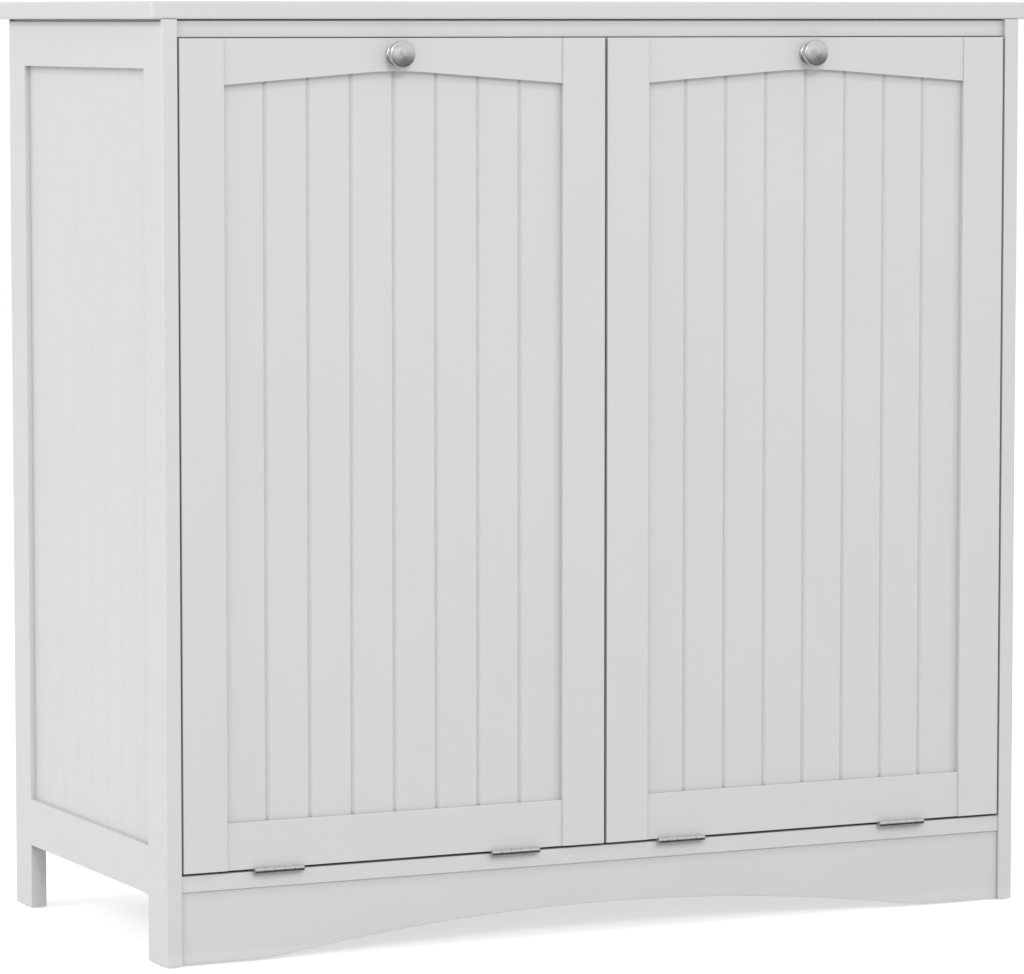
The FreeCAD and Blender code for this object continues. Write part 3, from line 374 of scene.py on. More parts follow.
def grain_group(name):
    """Fine scratches of drawn or rolled metal, long in one direction, and a cloudy plating."""
    clouds, cloud_tint, gloss_spread = 140.0, 0.14, 0.22
    group, given, result = new_group(
        name, "ShaderNodeTree",
        [("Color", "Color", None), ("Stretch", "Vector", (60.0, 2600.0, 2600.0)), ("Gloss", "Float", 0.3)],
        SURFACE,
    )
    place = own_place(group)
    streak = noise_of(group, vector_of(group, "MULTIPLY", place, given["Stretch"]), 1.0, 2.0)
    tint = wander(group, noise_of(group, place, clouds, 3.0), cloud_tint, 1.0)
    rough = wander(group, streak, gloss_spread, given["Gloss"])
    send(group, result, Color=shaded(group, given["Color"], tint), Roughness=rough, Height=streak)
    return group


def weave_group(name):
    """Plain weave on the cloth's own UV map, in metres: yarns that pass over and under, with slubs."""
    slub_run, patches = (700.0, 25.0, 1.0), 14.0
    group, given, result = new_group(
        name, "ShaderNodeTree", [("Color", "Color", None), ("Yarn", "Float", 0.0013)], SURFACE,
    )
    flat = add(group, "ShaderNodeUVMap", uv_map="Cut").outputs["UV"]
    turns = math_of(group, "DIVIDE", math.pi, given["Yarn"])
    across = add(group, "ShaderNodeSeparateXYZ", {0: flat}).outputs
    warp, weft = [math_of(group, "SINE", math_of(group, "MULTIPLY", across[axis], turns)) for axis in "XY"]
    over = math_of(group, "GREATER_THAN", math_of(group, "MULTIPLY", warp, weft), 0.0)
    lift = add(group, "ShaderNodeMix", {0: over, 2: math_of(group, "ABSOLUTE", weft),
                                        3: math_of(group, "ABSOLUTE", warp)}).outputs[0]
    slub = noise_of(group, vector_of(group, "MULTIPLY", flat, slub_run), 1.0, 2.0)
    # Yarns darker where they dip under their neighbours: painted shade between the yarns.
    shade = math_of(group, "MULTIPLY_ADD", lift, 0.2, 0.80)
    shade = wander(group, slub, 0.22, shade)
    shade = wander(group, noise_of(group, flat, patches, 3.0), 0.10, shade)
    rough = math_of(group, "MULTIPLY_ADD", slub, 0.15, 0.78)
    send(group, result, Color=shaded(group, given["Color"], shade), Roughness=rough, Height=lift)
    return group


def new_material(name, **constants):
    """A material with its shader; the constants are the shader's own sockets, with _ for a space."""
    material = bpy.data.materials.new(name)
    material.use_nodes = True
    shader = material.node_tree.nodes["Principled BSDF"]
    for socket, value in constants.items():
        shader.inputs[socket.replace("_", " ")].default_value = value
    return material, material.node_tree, shader


def finish_surface(tree, shader, looks, depth, base_normal=None):
    """Feed a colour, a roughness and bumps of the given depth to the shader."""
    bump = add(tree, "ShaderNodeBump", {"Strength": 1.0, "Distance": depth, "Height": looks["Height"]})
    if base_normal:
        tree.links.new(base_normal, bump.inputs["Normal"])
    tree.links.new(looks["Color"], shader.inputs["Base Color"])
    tree.links.new(looks["Roughness"], shader.inputs["Roughness"])
    tree.links.new(bump.outputs["Normal"], shader.inputs["Normal"])


def coated_material(name, colour, paint, gloss, mottle, depth):
    """Paint or moulded plastic: an uneven film, a fine stipple, eased edges with a painted highlight a little
    lighter, and painted shade beside neighbouring boards.
    """
    highlight_share, lighter = 0.35, 1.06
    material, tree, shader = new_material(name)
    film = place_group(tree, "Film", film_group, {"Color": rgba(colour), "Mottle": mottle,
                                                  "Stipple": paint.stipple, "Gloss": gloss})
    edges = place_group(tree, "Eased edges", edge_group, {"Radius": paint.edge_radius})
    # Painted shade where a neighbouring board shuts out light from above.
    painted_shade = place_group(tree, "Painted joint shade", painted_shade_group,
                         {"Reach": paint.shade_reach, "Darkening": paint.shade_darkening})
    # Painted highlight: the eased edges a little lighter than the film.
    edge_highlighted = mix_colours(tree, math_of(tree, "MULTIPLY", edges["Edge"], highlight_share), film["Color"],
                       rgba([min(1.0, lighter * part) for part in colour]))
    looks = {"Color": shaded(tree, edge_highlighted, painted_shade["Shade"]), "Roughness": film["Roughness"],
             "Height": film["Height"]}
    finish_surface(tree, shader, looks, depth, edges["Normal"])
    return material


def metal_material(name, colour, gloss, stretch):
    """Plated metal with fine drawing marks and eased edges."""
    edge_radius, mark_depth = 0.0003, 0.000004
    material, tree, shader = new_material(name, Metallic=1.0)
    grain = place_group(tree, "Drawn metal", grain_group,
                        {"Color": rgba(colour), "Gloss": gloss, "Stretch": stretch})
    edges = place_group(tree, "Eased edges", edge_group, {"Radius": edge_radius})
    finish_surface(tree, shader, grain, mark_depth, edges["Normal"])
    return material


def turned_material(name, node, colour, ring_pitch):
    """Satin nickel turned on a lathe: fine rings about the knob's axis spread its highlights into fans."""
    gloss, gloss_spread, tint_spread, ring_depth = 0.30, 0.18, 0.16, 0.000002
    material, tree, shader = new_material(name, Metallic=1.0, Anisotropic=0.9)
    low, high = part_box(node)
    centre = (low + high) / 2
    own = add(tree, "ShaderNodeMapping", {"Vector": own_place(tree), "Location": (-centre.x, 0.0, -centre.z)})
    flat = vector_of(tree, "MULTIPLY", own.outputs["Vector"], (1.0, 0.0, 1.0))
    away = add(tree, "ShaderNodeVectorMath", {0: flat}, operation="LENGTH").outputs["Value"]
    rings = add(tree, "ShaderNodeTexNoise", {"W": away, "Scale": 1 / ring_pitch, "Detail": 2.0},
                noise_dimensions="1D").outputs["Fac"]
    looks = {"Color": shaded(tree, tuple(colour), wander(tree, rings, tint_spread, 1.0)),
             "Roughness": wander(tree, rings, gloss_spread, gloss), "Height": rings}
    finish_surface(tree, shader, looks, ring_depth)
    around = add(tree, "ShaderNodeTangent", direction_type="RADIAL", axis="Y")
    tree.links.new(around.outputs["Tangent"], shader.inputs["Tangent"])
    return material


def beech_material():
    """Bare beech dowels: pale wood with fine flecks along the grain."""
    grain_run, fleck_depth = (30.0, 900.0, 900.0), 0.00005
    dark, pale = (0.42, 0.26, 0.13, 1.0), (0.62, 0.44, 0.26, 1.0)
    material, tree, shader = new_material("Bare beech", Specular_IOR_Level=0.3)
    fleck = noise_of(tree, vector_of(tree, "MULTIPLY", own_place(tree), grain_run), 1.0, 3.0)
    looks = {"Color": mix_colours(tree, fleck, dark, pale), "Height": fleck,
             "Roughness": math_of(tree, "MULTIPLY_ADD", fleck, 0.2, 0.55)}
    finish_surface(tree, shader, looks, fleck_depth)
    return material


def ferrite_material():
    """Pressed ferrite: almost black, with a gritty face."""
    grains, grit_depth = 2500.0, 0.00004
    dark, pale = (0.012, 0.012, 0.013, 1.0), (0.05, 0.05, 0.052, 1.0)
    material, tree, shader = new_material("Ferrite")
    grit = noise_of(tree, own_place(tree), grains, 2.0)
    looks = {"Color": mix_colours(tree, grit, dark, pale), "Height": grit,
             "Roughness": math_of(tree, "MULTIPLY_ADD", grit, 0.3, 0.4)}
    finish_surface(tree, shader, looks, grit_depth)
    return material


def canvas_material(bag):
    """Cotton canvas with its weave on the cut's own UV map."""
    weave_depth = 0.00025
    material, tree, shader = new_material("Cotton canvas", Sheen_Weight=0.25, Sheen_Roughness=0.5,
                                          Specular_IOR_Level=0.2)
    weave = place_group(tree, "Plain weave", weave_group, {"Color": rgba(bag.colour), "Yarn": bag.yarn})
    finish_surface(tree, shader, weave, weave_depth)
    return material


def thread_material(bag):
    """Twisted sewing thread, a little lighter than the canvas."""
    strands, twist_depth = 1800.0, 0.00008
    material, tree, shader = new_material("Sewing thread", Sheen_Weight=0.3, Specular_IOR_Level=0.25)
    twist = noise_of(tree, own_place(tree), strands, 2.0)
    shade = math_of(tree, "MULTIPLY_ADD", twist, 0.4, 0.75)
    looks = {"Color": shaded(tree, tuple(bag.thread_colour), shade), "Height": twist,
             "Roughness": math_of(tree, "MULTIPLY_ADD", twist, 0.2, 0.6)}
    finish_surface(tree, shader, looks, twist_depth)
    return material


def dress(nodes, material):
    """Give CAD nodes a material in place of their plain ones."""
    for node in nodes:
        mesh = frame["nodes"][node].data
        mesh.materials.clear()
        mesh.materials.append(material)


def new_object(name, mesh):
    obj = bpy.data.objects.new(name, mesh)
    bpy.context.scene.collection.objects.link(obj)
    return obj


def run_tree(obj, tree, sizes):
    """Run a geometry tree on an object and leave the result as its plain mesh."""
    modifier = obj.modifiers.new(tree.name, "NODES")
    modifier.node_group = tree
    for item in tree.interface.items_tree:
        if item.item_type == "SOCKET" and item.name in sizes:
            modifier[item.identifier] = sizes[item.name]
    obj.update_tag()
    made = plain_mesh(obj)
    obj.modifiers.clear()
    obj.data = made
    if not made.polygons:
        raise RuntimeError(obj.name + " came out empty")


def plain_mesh(obj):
    """The object's mesh with its modifiers applied."""
    bpy.context.view_layer.update()
    evaluated = obj.evaluated_get(bpy.context.evaluated_depsgraph_get())
    return bpy.data.meshes.new_from_object(evaluated)


def screw_tree():
    """Countersunk screws with a cross recess, one at each point, which holds the way that its head faces."""
    recess_span = 1.25  # length of the recess for each head radius
    tree, given, result = new_group(
        "Countersunk screws", "GeometryNodeTree",
        [("Geometry", "Geometry", None), ("Length", "Float", 0.012), ("Shank Radius", "Float", 0.0015),
         ("Head Radius", "Float", 0.0025), ("Head Height", "Float", 0.001), ("Recess Width", "Float", 0.0009),
         ("Recess Depth", "Float", 0.0007), ("Material", "Material", None)],
        [("Geometry", "Geometry")],
    )
    cone = add(tree, "GeometryNodeMeshCone",
               {"Vertices": 24, "Radius Top": given["Head Radius"], "Radius Bottom": given["Shank Radius"],
                "Depth": given["Head Height"]})
    drop = add(tree, "ShaderNodeCombineXYZ", {"Z": math_of(tree, "MULTIPLY", given["Head Height"], -1.0)})
    head = add(tree, "GeometryNodeTransform",
               {"Geometry": cone.outputs["Mesh"], "Translation": drop.outputs[0]})
    bar_size = add(tree, "ShaderNodeCombineXYZ",
                   {"X": math_of(tree, "MULTIPLY", given["Head Radius"], recess_span),
                    "Y": given["Recess Width"], "Z": math_of(tree, "MULTIPLY", given["Recess Depth"], 2.0)})
    bar = add(tree, "GeometryNodeMeshCube", {"Size": bar_size.outputs[0]}).outputs["Mesh"]
    turned = add(tree, "GeometryNodeTransform", {"Geometry": bar, "Rotation": (0.0, 0.0, math.pi / 2)})
    cut = add(tree, "GeometryNodeMeshBoolean", {0: head.outputs[0], 1: bar}, operation="DIFFERENCE")
    tree.links.new(turned.outputs[0], cut.inputs[1])
    run = math_of(tree, "SUBTRACT", given["Length"], given["Head Height"])
    shank = add(tree, "GeometryNodeMeshCylinder",
                {"Vertices": 16, "Radius": given["Shank Radius"], "Depth": run})
    middle = math_of(tree, "MULTIPLY", math_of(tree, "ADD", given["Length"], given["Head Height"]), -0.5)
    sunk = add(tree, "GeometryNodeTransform",
               {"Geometry": shank.outputs["Mesh"],
                "Translation": add(tree, "ShaderNodeCombineXYZ", {"Z": middle}).outputs[0]})
    screw = add(tree, "GeometryNodeJoinGeometry", {0: cut.outputs["Mesh"]})
    tree.links.new(sunk.outputs[0], screw.inputs[0])
    outward = add(tree, "GeometryNodeInputNamedAttribute", {"Name": "outward"}, data_type="FLOAT_VECTOR")
    aim = add(tree, "FunctionNodeAlignRotationToVector", {"Vector": outward.outputs["Attribute"]}, axis="Z")
    points = add(tree, "GeometryNodeMeshToPoints", {"Mesh": given["Geometry"]})
    placed = add(tree, "GeometryNodeInstanceOnPoints",
                 {"Points": points.outputs[0], "Instance": screw.outputs[0], "Rotation": aim.outputs[0]})
    real = add(tree, "GeometryNodeRealizeInstances", {"Geometry": placed.outputs[0]})
    done = add(tree, "GeometryNodeSetMaterial", {"Geometry": real.outputs[0], "Material": given["Material"]})
    send(tree, result, Geometry=done.outputs[0])
    return tree


def stitch_tree():
    """A row of stitches along each path."""
    tree, given, result = new_group(
        "Stitches", "GeometryNodeTree",
        [("Geometry", "Geometry", None), ("Pitch", "Float", 0.004), ("Length", "Float", 0.003),
         ("Thickness", "Float", 0.0007), ("Material", "Material", None)],
        [("Geometry", "Geometry")],
    )
    path = add(tree, "GeometryNodeMeshToCurve", {"Mesh": given["Geometry"]})
    spots = add(tree, "GeometryNodeResampleCurve", {"Curve": path.outputs[0], "Length": given["Pitch"]},
                mode="LENGTH")
    bead = add(tree, "GeometryNodeMeshUVSphere", {"Segments": 6, "Rings": 4, "Radius": 0.5})
    size = add(tree, "ShaderNodeCombineXYZ",
               {"X": given["Length"], "Y": given["Thickness"], "Z": given["Thickness"]})
    along = add(tree, "GeometryNodeInputTangent")
    aim = add(tree, "FunctionNodeAlignRotationToVector", {"Vector": along.outputs[0]}, axis="X")
    placed = add(tree, "GeometryNodeInstanceOnPoints",
                 {"Points": spots.outputs[0], "Instance": bead.outputs["Mesh"], "Rotation": aim.outputs[0],
                  "Scale": size.outputs[0]})
    real = add(tree, "GeometryNodeRealizeInstances", {"Geometry": placed.outputs[0]})
    smooth = add(tree, "GeometryNodeSetShadeSmooth", {"Geometry": real.outputs[0]})
    done = add(tree, "GeometryNodeSetMaterial",
               {"Geometry": smooth.outputs[0], "Material": given["Material"]})
    send(tree, result, Geometry=done.outputs[0])
    return tree


def islands(mesh):
    """The separate solids of a CAD mesh, each as a list of points."""
    same_point = 1e-6
    work = bmesh.new()
    work.from_mesh(mesh)
    bmesh.ops.remove_doubles(work, verts=work.verts, dist=same_point)
    left = set(work.verts)
    found = []
    for first in work.verts:
        if first not in left:
            continue
        left.remove(first)
        reached = [first]
        for vert in reached:
            for edge in vert.link_edges:
                near = edge.other_vert(vert)
                if near in left:
                    left.remove(near)
                    reached.append(near)
        found.append([vert.co.copy() for vert in reached])
    work.free()
    return found


def screw_spot(points):
    """Where a screw's head is flush, which way it faces, and its length, shank and head radii."""
    same_plane = 1e-5
    low = Vector([min(point[axis] for point in points) for axis in range(3)])
    high = Vector([max(point[axis] for point in points) for axis in range(3)])
    size = high - low
    axis = max(range(3), key=lambda number: size[number])
    centre = (low + high) / 2
    reach = {}
    for end in (low[axis], high[axis]):
        rim = [point for point in points if abs(point[axis] - end) < same_plane]
        flat = [point - centre for point in rim]
        reach[end] = max(math.sqrt(max(0.0, part.length_squared - part[axis] ** 2)) for part in flat)
    head = max(reach, key=reach.get)
    outward = Vector()
    outward[axis] = math.copysign(1.0, head - centre[axis])
    centre[axis] = head
    return centre, outward, size[axis], min(reach.values()), max(reach.values())


class HAMPER_OT_paint(bpy.types.Operator):
    """Paint the boards and finish the plastic, dowels and magnets"""

    bl_idname = "hamper.paint"
    bl_label = "Paint the boards"

    def execute(self, context):
        paint = context.scene.hamper.paint
        satin = coated_material("Satin paint", paint.colour, paint, gloss=0.42, mottle=0.035, depth=0.00003)
        moulded = coated_material("Moulded plastic", paint.plastic_colour, paint, gloss=0.5, mottle=0.02,
                                  depth=0.00005)
        dress(SLOT_NODES["white_paint"], satin)
        dress(SLOT_NODES["white_plastic"], moulded)
        dress(SLOT_NODES["beech"], beech_material())
        dress(SLOT_NODES["ferrite"], ferrite_material())
        return {"FINISHED"}


class HAMPER_OT_fittings(bpy.types.Operator):
    """Finish the knobs, hinges, rods, stays and plates"""

    bl_idname = "hamper.fittings"
    bl_label = "Finish the fittings"

    def execute(self, context):
        metal = context.scene.hamper.metal
        nickel = metal_material("Satin nickel", metal.nickel, gloss=0.42, stretch=(90.0, 2600.0, 2600.0))
        zinc = metal_material("Zinc plate", metal.zinc, gloss=0.3, stretch=(400.0, 400.0, 900.0))
        dress(SLOT_NODES["satin_nickel"], nickel)
        dress(SLOT_NODES["zinc_plated_steel"], zinc)
        for hand in HANDS:
            node = hand + "_knob"
            dress([node], turned_material("Turned nickel " + hand, node, metal.nickel, metal.ring_pitch))
        return {"FINISHED"}


class HAMPER_OT_screws(bpy.types.Operator):
    """Set cross-recessed screws where the cabinet and the doors have them"""

    bl_idname = "hamper.screws"
    bl_label = "Set the screws"

    def execute(self, context):
        metal = context.scene.hamper.metal
        material = bpy.data.materials["Zinc plate"]
        tree = screw_tree()
        for node, body in (("cabinet_screws", "cabinet"), ("left_door_screws", "left_door"),
                           ("right_door_screws", "right_door")):
            spots = [screw_spot(points) for points in islands(frame["nodes"][node].data)]
            mesh = bpy.data.meshes.new(node + "_points")
            mesh.from_pydata([spot[0] for spot in spots], [], [])
            facing = mesh.attributes.new("outward", "FLOAT_VECTOR", "POINT")
            for number, spot in enumerate(spots):
                facing.data[number].vector = spot[1]
            length, shank, head = spots[0][2:]
            screws = new_object(node + "_driven", mesh)
            run_tree(screws, tree, {
                "Length": length, "Shank Radius": shank, "Head Radius": head, "Head Height": head - shank,
                "Recess Width": metal.recess_width, "Recess Depth": metal.recess_depth, "Material": material,
            })
            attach(screws, body)
            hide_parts(node)
        return {"FINISHED"}


def corner_arc(centre, radius, start, count):
    """Points on an eighth of a circle, without its last one."""
    turns = [start + math.pi / 4 * step / count for step in range(count)]
    return [centre + radius * Vector((math.cos(turn), math.sin(turn))) for turn in turns]


def cloth_ring(half, front_radius, rear_radius, counts):
    """Points round a rectangle with rounded corners, counted from the middle of its front left corner."""
    across, deep = counts
    radii = (front_radius, front_radius, rear_radius, rear_radius)
    signs = ((-1, -1), (1, -1), (1, 1), (-1, 1))
    steps = (1, 1, 2, 2)
    runs = (across - 2, deep - 3, across - 4, deep - 3)
    points = []
    for number in range(4):
        following = (number + 1) % 4
        starts = []
        for corner, turn in ((number, 5), (following, 6)):
            centre = Vector((signs[corner][0] * (half.x - radii[corner]),
                             signs[corner][1] * (half.y - radii[corner])))
            starts.append((centre, radii[corner], math.pi / 4 * (turn + 2 * number), steps[corner]))
        leaving = corner_arc(*starts[0])
        joining = corner_arc(*starts[1])
        end = starts[0][0] + starts[0][1] * Vector((math.cos(starts[1][2]), math.sin(starts[1][2])))
        points += leaving
        points += [end.lerp(joining[0], step / runs[number]) for step in range(runs[number])]
        points += joining
    return points


REAR_BEND = 5  # radius of the bag's rear corners for each rod diameter
FOLD_SEED = 1  # without it the clock would choose the folds
SEED_STEP = 3.7  # keeps the two bags' folds apart
STITCH_RISE = 0.2  # share of its thickness by which a stitch stands off the cloth


class BagShape:
    """Sizes and rows of one bag, worked out from its rod frame and its place in the frame."""

    def __init__(self, hand, bag):
        frame_low, frame_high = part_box(hand + "_bag_frame")
        low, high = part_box(hand + "_bag")
        radius = bag.rod / 2
        self.rod_z = frame_high.z - radius
        lap = high.z - self.rod_z
        self.wrap = lap - bag.thickness / 2
        front = low.y + lap
        rear = frame_high.y - radius
        self.centre = Vector(((frame_low.x + frame_high.x) / 2, (front + rear) / 2))
        self.half = Vector(((frame_high.x - frame_low.x) / 2 - radius, (rear - front) / 2))
        self.base_z = low.z + bag.thickness / 2
        self.rear_radius = REAR_BEND * bag.rod
        self.bag = bag
        self.counts = [max(8, round(2 * size / bag.grid)) for size in self.half]
        self.columns = 2 * sum(self.counts)
        self.wall_rows = round((self.rod_z - self.base_z) / bag.grid)
        self.wrap_rows = 6
        self.cuff_rows = 5

    def ring(self, offset, z, taper=0.0):
        half = self.half + Vector((offset - taper, offset - taper))
        points = cloth_ring(half, self.bag.slit, self.rear_radius + offset, self.counts)
        return [Vector((*(self.centre + point), z)) for point in points]

    def rows(self):
        """Rings from the base up the inside, over the rods and down to the hem of the cuff."""
        made = []
        for step in range(self.wall_rows + 1):
            share = step / self.wall_rows
            z = self.base_z + (self.rod_z - self.base_z) * share
            made.append(self.ring(-self.wrap, z, self.bag.taper * (1 - share)))
        for step in range(1, self.wrap_rows + 1):
            turn = math.pi * step / self.wrap_rows
            made.append(self.ring(-self.wrap * math.cos(turn), self.rod_z + self.wrap * math.sin(turn)))
        drop = self.bag.cuff - self.wrap - self.bag.thickness / 2
        for step in range(1, self.cuff_rows + 1):
            made.append(self.ring(self.wrap, self.rod_z - drop * step / self.cuff_rows))
        return made


def base_point(ring, counts, i, j):
    """A point of the base, blended from the ring round it."""
    across, deep = counts
    u = i / across
    v = j / deep
    front, rear = ring[i], ring[2 * across + deep - i]
    left, right = ring[(2 * (across + deep) - j) % len(ring)], ring[across + j]
    corners = (ring[0], ring[across], ring[2 * across + deep], ring[across + deep])
    edges = front.lerp(rear, v) + left.lerp(right, u)
    return edges - corners[0].lerp(corners[1], u).lerp(corners[2].lerp(corners[3], u), v)


def lay_flat(mesh, shape, rows):
    """Write the cut's UV map in metres: round and up the walls, and straight across the base."""
    columns = shape.columns
    mouth = rows[shape.wall_rows]
    around = [0.0]
    for number in range(columns):
        around.append(around[-1] + (mouth[(number + 1) % columns] - mouth[number]).length)
    up = [0.0]
    for below, above in zip(rows, rows[1:]):
        up.append(up[-1] + (above[0] - below[0]).length)
    cut = mesh.uv_layers.new(name="Cut")
    for face in mesh.polygons:
        spots = [mesh.loops[loop].vertex_index for loop in face.loop_indices]
        on_wall = all(spot < columns * len(rows) for spot in spots) and max(spots) >= columns
        wraps = on_wall and {spot % columns for spot in spots} >= {0, columns - 1}
        for loop, spot in zip(face.loop_indices, spots):
            if on_wall:
                column = columns if wraps and spot % columns == 0 else spot % columns
                cut.data[loop].uv = (around[column], up[spot // columns])
            else:
                cut.data[loop].uv = mesh.vertices[spot].co.xy


def sew_bag(name, shape):
    """The cut bag as a mesh: walls, cuff with slit front corners, and base; the cuff is a held group."""
    rows = shape.rows()
    columns = shape.columns
    across, deep = shape.counts
    points = [point for row in rows for point in row]
    faces = []
    slit_columns = (0, across - 1, across, columns - 1)
    over_rod = shape.wall_rows + shape.wrap_rows // 2
    for row in range(len(rows) - 1):
        for column in range(columns):
            if row < over_rod or column not in slit_columns:
                following = (column + 1) % columns
                faces.append((row * columns + column, row * columns + following,
                              (row + 1) * columns + following, (row + 1) * columns + column))
    spots = {}
    for column in range(across + 1):
        spots[column, 0] = column
        spots[column, deep] = 2 * across + deep - column
    for row in range(deep + 1):
        spots[across, row] = across + row
        spots[0, row] = (columns - row) % columns
    for row in range(1, deep):
        for column in range(1, across):
            spots[column, row] = len(points)
            points.append(base_point(rows[0], shape.counts, column, row))
    for row in range(deep):
        for column in range(across):
            faces.append((spots[column, row], spots[column, row + 1],
                          spots[column + 1, row + 1], spots[column + 1, row]))
    mesh = bpy.data.meshes.new(name)
    mesh.from_pydata(points, [], faces)
    lay_flat(mesh, shape, rows)
    obj = new_object(name, mesh)
    held = obj.vertex_groups.new(name="held")
    held.add(list(range(shape.wall_rows * columns, len(rows) * columns)), 1.0, "REPLACE")
    return obj


def drape(obj, shape, bag, seed):
    """Let the free walls and base hang in folds from the held cuff, within the allowed sag."""
    folds, fold_depth, fold_rise, full_depth = 9.0, 0.006, 0.3, 0.25
    start = [vertex.co.copy() for vertex in obj.data.vertices]
    held = shape.wall_rows * shape.columns
    noise.seed_set(FOLD_SEED)
    for number, vertex in enumerate(obj.data.vertices):
        if number < held or number >= len(shape.rows()) * shape.columns:
            shift = noise.noise_vector(start[number] * folds + Vector((seed, 0.0, 0.0)))
            depth = min(1.0, (shape.rod_z - start[number].z) / full_depth)
            vertex.co = start[number] + fold_depth * depth * Vector((shift.x, shift.y, fold_rise * shift.z))
    cloth = obj.modifiers.new("Drape", "CLOTH")
    for name, value in CANVAS.items():
        setattr(cloth.settings, name, value)
    cloth.settings.vertex_group_mass = "held"
    cloth.settings.shrink_min = -bag.slack
    cloth.point_cache.frame_start = 1
    cloth.point_cache.frame_end = bag.frames
    scene = bpy.context.scene
    for number in range(1, bag.frames + 1):
        scene.frame_set(number)
    draped = plain_mesh(obj)
    for vertex, hung, cut in zip(obj.data.vertices, draped.vertices, start):
        move = hung.co - cut
        vertex.co = cut + move * min(1.0, bag.sag / max(move.length, 1e-9))
    obj.modifiers.clear()
    scene.frame_set(1)
    bpy.data.meshes.remove(draped)


def seam_paths(obj, shape):
    """Paths of the stitching: round the cuff by the rods and by its hem, down the corners, round the base."""
    columns = shape.columns
    across, deep = shape.counts
    points = [vertex.co.copy() for vertex in obj.data.vertices]
    wrapped = shape.wall_rows + shape.wrap_rows
    paths = []
    for row in (wrapped + 1, wrapped + shape.cuff_rows - 1):
        for first, last in ((1, across - 1), (across + 1, columns - 1)):
            paths.append([points[row * columns + column] for column in range(first, last + 1)])
    corners = (0, across, across + deep, 2 * across + deep)
    for corner in corners:
        paths.append([points[row * columns + corner] for row in range(shape.wall_rows - 2)])
    paths.append([points[column % columns] for column in range(columns + 1)])
    return paths


def finish_cloth(obj, bag, material):
    """Round the drape and give the cloth its thickness."""
    for face in obj.data.polygons:
        face.use_smooth = True
    obj.data.materials.append(material)
    rounded = obj.modifiers.new("Round", "SUBSURF")
    rounded.levels = 1
    rounded.render_levels = 1
    thick = obj.modifiers.new("Thickness", "SOLIDIFY")
    thick.thickness = bag.thickness
    thick.offset = 0.0
    made = plain_mesh(obj)
    obj.modifiers.clear()
    obj.vertex_groups.clear()
    obj.data = made


class HAMPER_OT_bags(bpy.types.Operator):
    """Hang a cloth bag from each rod frame"""

    bl_idname = "hamper.bags"
    bl_label = "Hang the bags"

    def execute(self, context):
        bag = context.scene.hamper.bag
        canvas = canvas_material(bag)
        thread = thread_material(bag)
        tree = stitch_tree()
        for number, hand in enumerate(HANDS):
            shape = BagShape(hand, bag)
            cloth = sew_bag(hand + "_cloth_bag", shape)
            drape(cloth, shape, bag, SEED_STEP * number)
            paths = seam_paths(cloth, shape)
            finish_cloth(cloth, bag, canvas)
            surface = BVHTree.FromPolygons([vertex.co for vertex in cloth.data.vertices],
                                           [face.vertices for face in cloth.data.polygons])
            points = []
            edges = []
            for path in paths:
                first = len(points)
                for point in path:
                    away = Vector((*(point.xy - shape.centre), 0.0)).normalized()
                    spot, normal, _, _ = surface.find_nearest(point + away * bag.thickness)
                    points.append(spot + normal * STITCH_RISE * bag.stitch_thickness)
                edges += [(start, start + 1) for start in range(first, len(points) - 1)]
            seams = bpy.data.meshes.new(hand + "_seams")
            seams.from_pydata(points, edges, [])
            stitches = new_object(hand + "_bag_stitches", seams)
            run_tree(stitches, tree, {"Pitch": bag.stitch_pitch, "Length": bag.stitch_length,
                                      "Thickness": bag.stitch_thickness, "Material": thread})
            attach(cloth, hand + "_door")
            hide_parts(hand + "_bag")
            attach(stitches, hand + "_door")
        return {"FINISHED"}


def seen_as_white(tree):
    """1 for rays that show the background: from the camera, and by reflection or through glass."""
    path = add(tree, "ShaderNodeLightPath").outputs
    either = math_of(tree, "MAXIMUM", path["Is Camera Ray"], path["Is Glossy Ray"])
    return math_of(tree, "MAXIMUM", either, path["Is Transmission Ray"])


def floor_material(studio):
    """Pale floor that looks white but keeps a soft shadow under the cabinet."""
    material, tree, shader = new_material("Studio floor", Roughness=0.9, Specular_IOR_Level=0.0)
    pale = mix_colours(tree, noise_of(tree, own_place(tree), 3.0, 2.0), grey(0.80), grey(0.84))
    tree.links.new(pale, shader.inputs["Base Color"])
    glow = add(tree, "ShaderNodeEmission",
               {"Strength": math_of(tree, "MULTIPLY", seen_as_white(tree), studio.floor_glow)})
    both = add(tree, "ShaderNodeAddShader", {0: shader.outputs[0], 1: glow.outputs[0]})
    tree.links.new(both.outputs[0], tree.nodes["Material Output"].inputs["Surface"])
    return material


def card_material():
    """Dark flag on the floor, seen only in the metal's reflections: painted shade in the knobs and hinges,
    darkest by the cabinet, grey farther off.
    """
    grey_from, dark_from = -1.1, -0.5
    material, tree, shader = new_material("Shade flag", Roughness=1.0, Specular_IOR_Level=0.0)
    away = add(tree, "ShaderNodeSeparateXYZ", {0: own_place(tree)}).outputs["Y"]
    near = add(tree, "ShaderNodeMapRange", {"Value": away, "From Min": grey_from, "From Max": dark_from})
    flag_shade = mix_colours(tree, near.outputs["Result"], grey(0.30), grey(0.02))
    tree.links.new(flag_shade, shader.inputs["Base Color"])
    return material


def lay_sheet(name, rear, height, material):
    """A flat sheet of the studio, as wide as the floor and up to its rear edge."""
    mesh = bpy.data.meshes.new(name)
    mesh.from_pydata([(-FLOOR_HALF, -FLOOR_HALF, height), (FLOOR_HALF, -FLOOR_HALF, height),
                      (FLOOR_HALF, rear, height), (-FLOOR_HALF, rear, height)], [], [(0, 1, 2, 3)])
    mesh.materials.append(material)
    sheet = new_object(name, mesh)
    sheet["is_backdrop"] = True
    return sheet


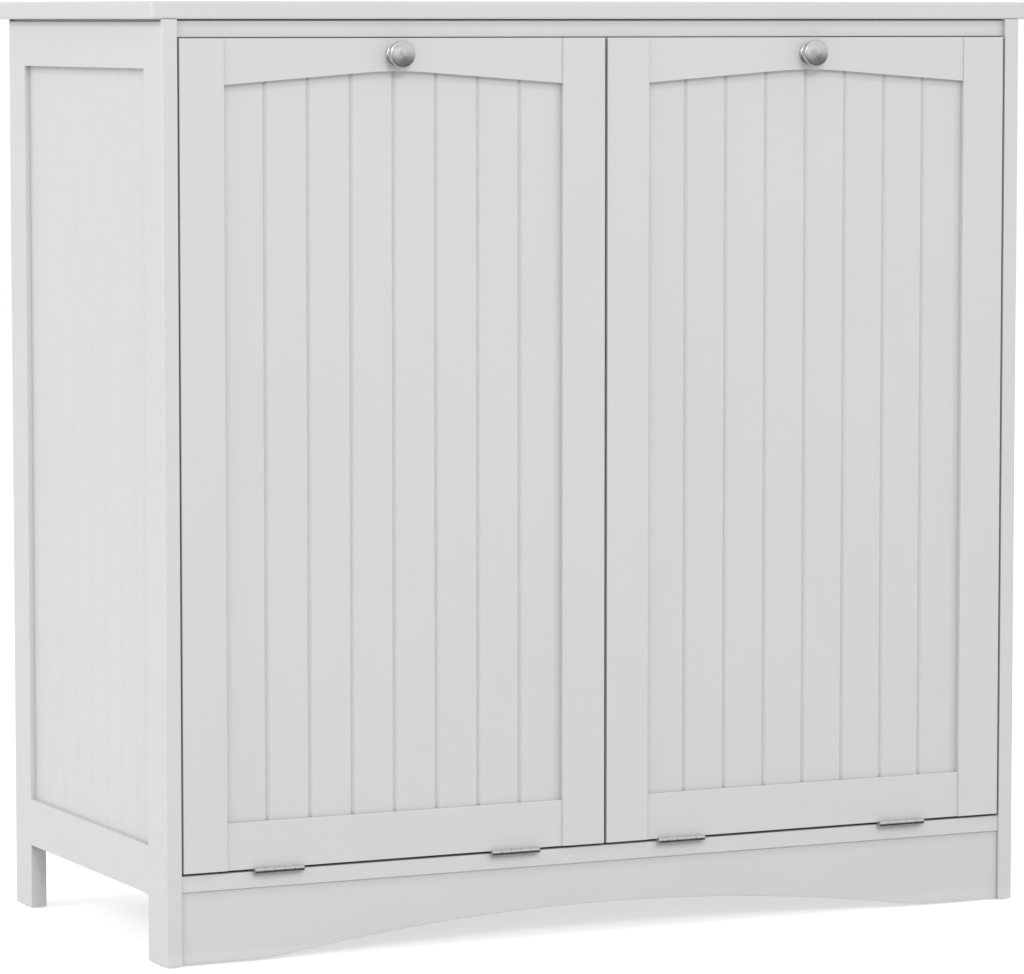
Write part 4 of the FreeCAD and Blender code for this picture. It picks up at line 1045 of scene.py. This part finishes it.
def add_lamp(name, target, power):
    """A flat rectangular lamp, aimed at the cabinet."""
    place, size = LAMPS[name]
    lamp = bpy.data.lights.new(name, "AREA")
    lamp.shape = "RECTANGLE"
    lamp.size, lamp.size_y = size
    lamp.energy = power
    obj = new_object(name, lamp)
    obj.location = place
    obj.rotation_euler = (target - Vector(place)).to_track_quat("-Z", "Y").to_euler()
    return obj


class HAMPER_OT_stage(bpy.types.Operator):
    """Set up the floor, the lamps and the camera"""

    bl_idname = "hamper.stage"
    bl_label = "Set up the studio"

    def execute(self, context):
        studio = context.scene.hamper.studio
        scene = context.scene
        lay_sheet("studio_floor", FLOOR_HALF, 0.0, floor_material(studio))
        # A dark sheet hidden from the camera: it paints shade into the metal's reflections.
        card = lay_sheet("dark_card", CARD_END, CARD_HEIGHT, card_material())
        card.visible_camera = False
        card.visible_diffuse = False
        card.visible_shadow = False

        world = bpy.data.worlds.new("Studio")
        world.use_nodes = True
        tree = world.node_tree
        white = seen_as_white(tree)
        level = add(tree, "ShaderNodeMix", {0: white, 2: studio.sky, 3: 1.0})
        tree.links.new(level.outputs[0], tree.nodes["Background"].inputs["Strength"])
        tree.nodes["Background"].inputs["Color"].default_value = grey(1.0)
        scene.world = world

        low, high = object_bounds()
        middle = (low + high) / 2
        key = add_lamp("Key lamp", middle, studio.key)
        key.visible_glossy = False
        add_lamp("Side lamp", middle, studio.side)
        add_lamp("Knob lamp", middle, studio.knob)

        camera = bpy.data.cameras.new("Camera")
        camera.sensor_width = 36.0
        camera.lens = studio.lens
        camera.clip_end = 100.0
        view = new_object("Camera", camera)
        view.location = studio.camera_place
        view.rotation_euler = Euler((math.pi / 2 - studio.camera_pitch, 0.0, -studio.camera_yaw))
        scene.camera = view
        scene.view_settings.view_transform = "Standard"
        return {"FINISHED"}


OPERATORS = (HAMPER_OT_paint, HAMPER_OT_fittings, HAMPER_OT_screws, HAMPER_OT_bags, HAMPER_OT_stage)


class HAMPER_PT_panel(bpy.types.Panel):
    """Settings and steps of the hamper cabinet"""

    bl_idname = "HAMPER_PT_panel"
    bl_label = "Laundry hamper cabinet"
    bl_space_type = "VIEW_3D"
    bl_region_type = "UI"
    bl_category = "Hamper"

    def draw(self, context):
        settings = context.scene.hamper
        for part in ("paint", "metal", "bag", "studio"):
            group = getattr(settings, part)
            box = self.layout.box()
            box.label(text=part.capitalize())
            for name in group.bl_rna.properties.keys():
                if name not in ("rna_type", "name"):
                    box.prop(group, name)
        for operator in OPERATORS:
            self.layout.operator(operator.bl_idname)


CLASSES = (PaintFinish, MetalFinish, BagCut, StudioSetup, HamperSettings, *OPERATORS, HAMPER_PT_panel)


def register():
    for item in CLASSES:
        bpy.utils.register_class(item)
    bpy.types.Scene.hamper = PointerProperty(type=HamperSettings)


def unregister():
    del bpy.types.Scene.hamper
    for item in reversed(CLASSES):
        bpy.utils.unregister_class(item)


def main():
    register()
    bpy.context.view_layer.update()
    bpy.ops.hamper.paint()
    bpy.ops.hamper.fittings()
    bpy.ops.hamper.screws()
    bpy.ops.hamper.bags()
    bpy.ops.hamper.stage()


if __name__ == "__main__":
    main()
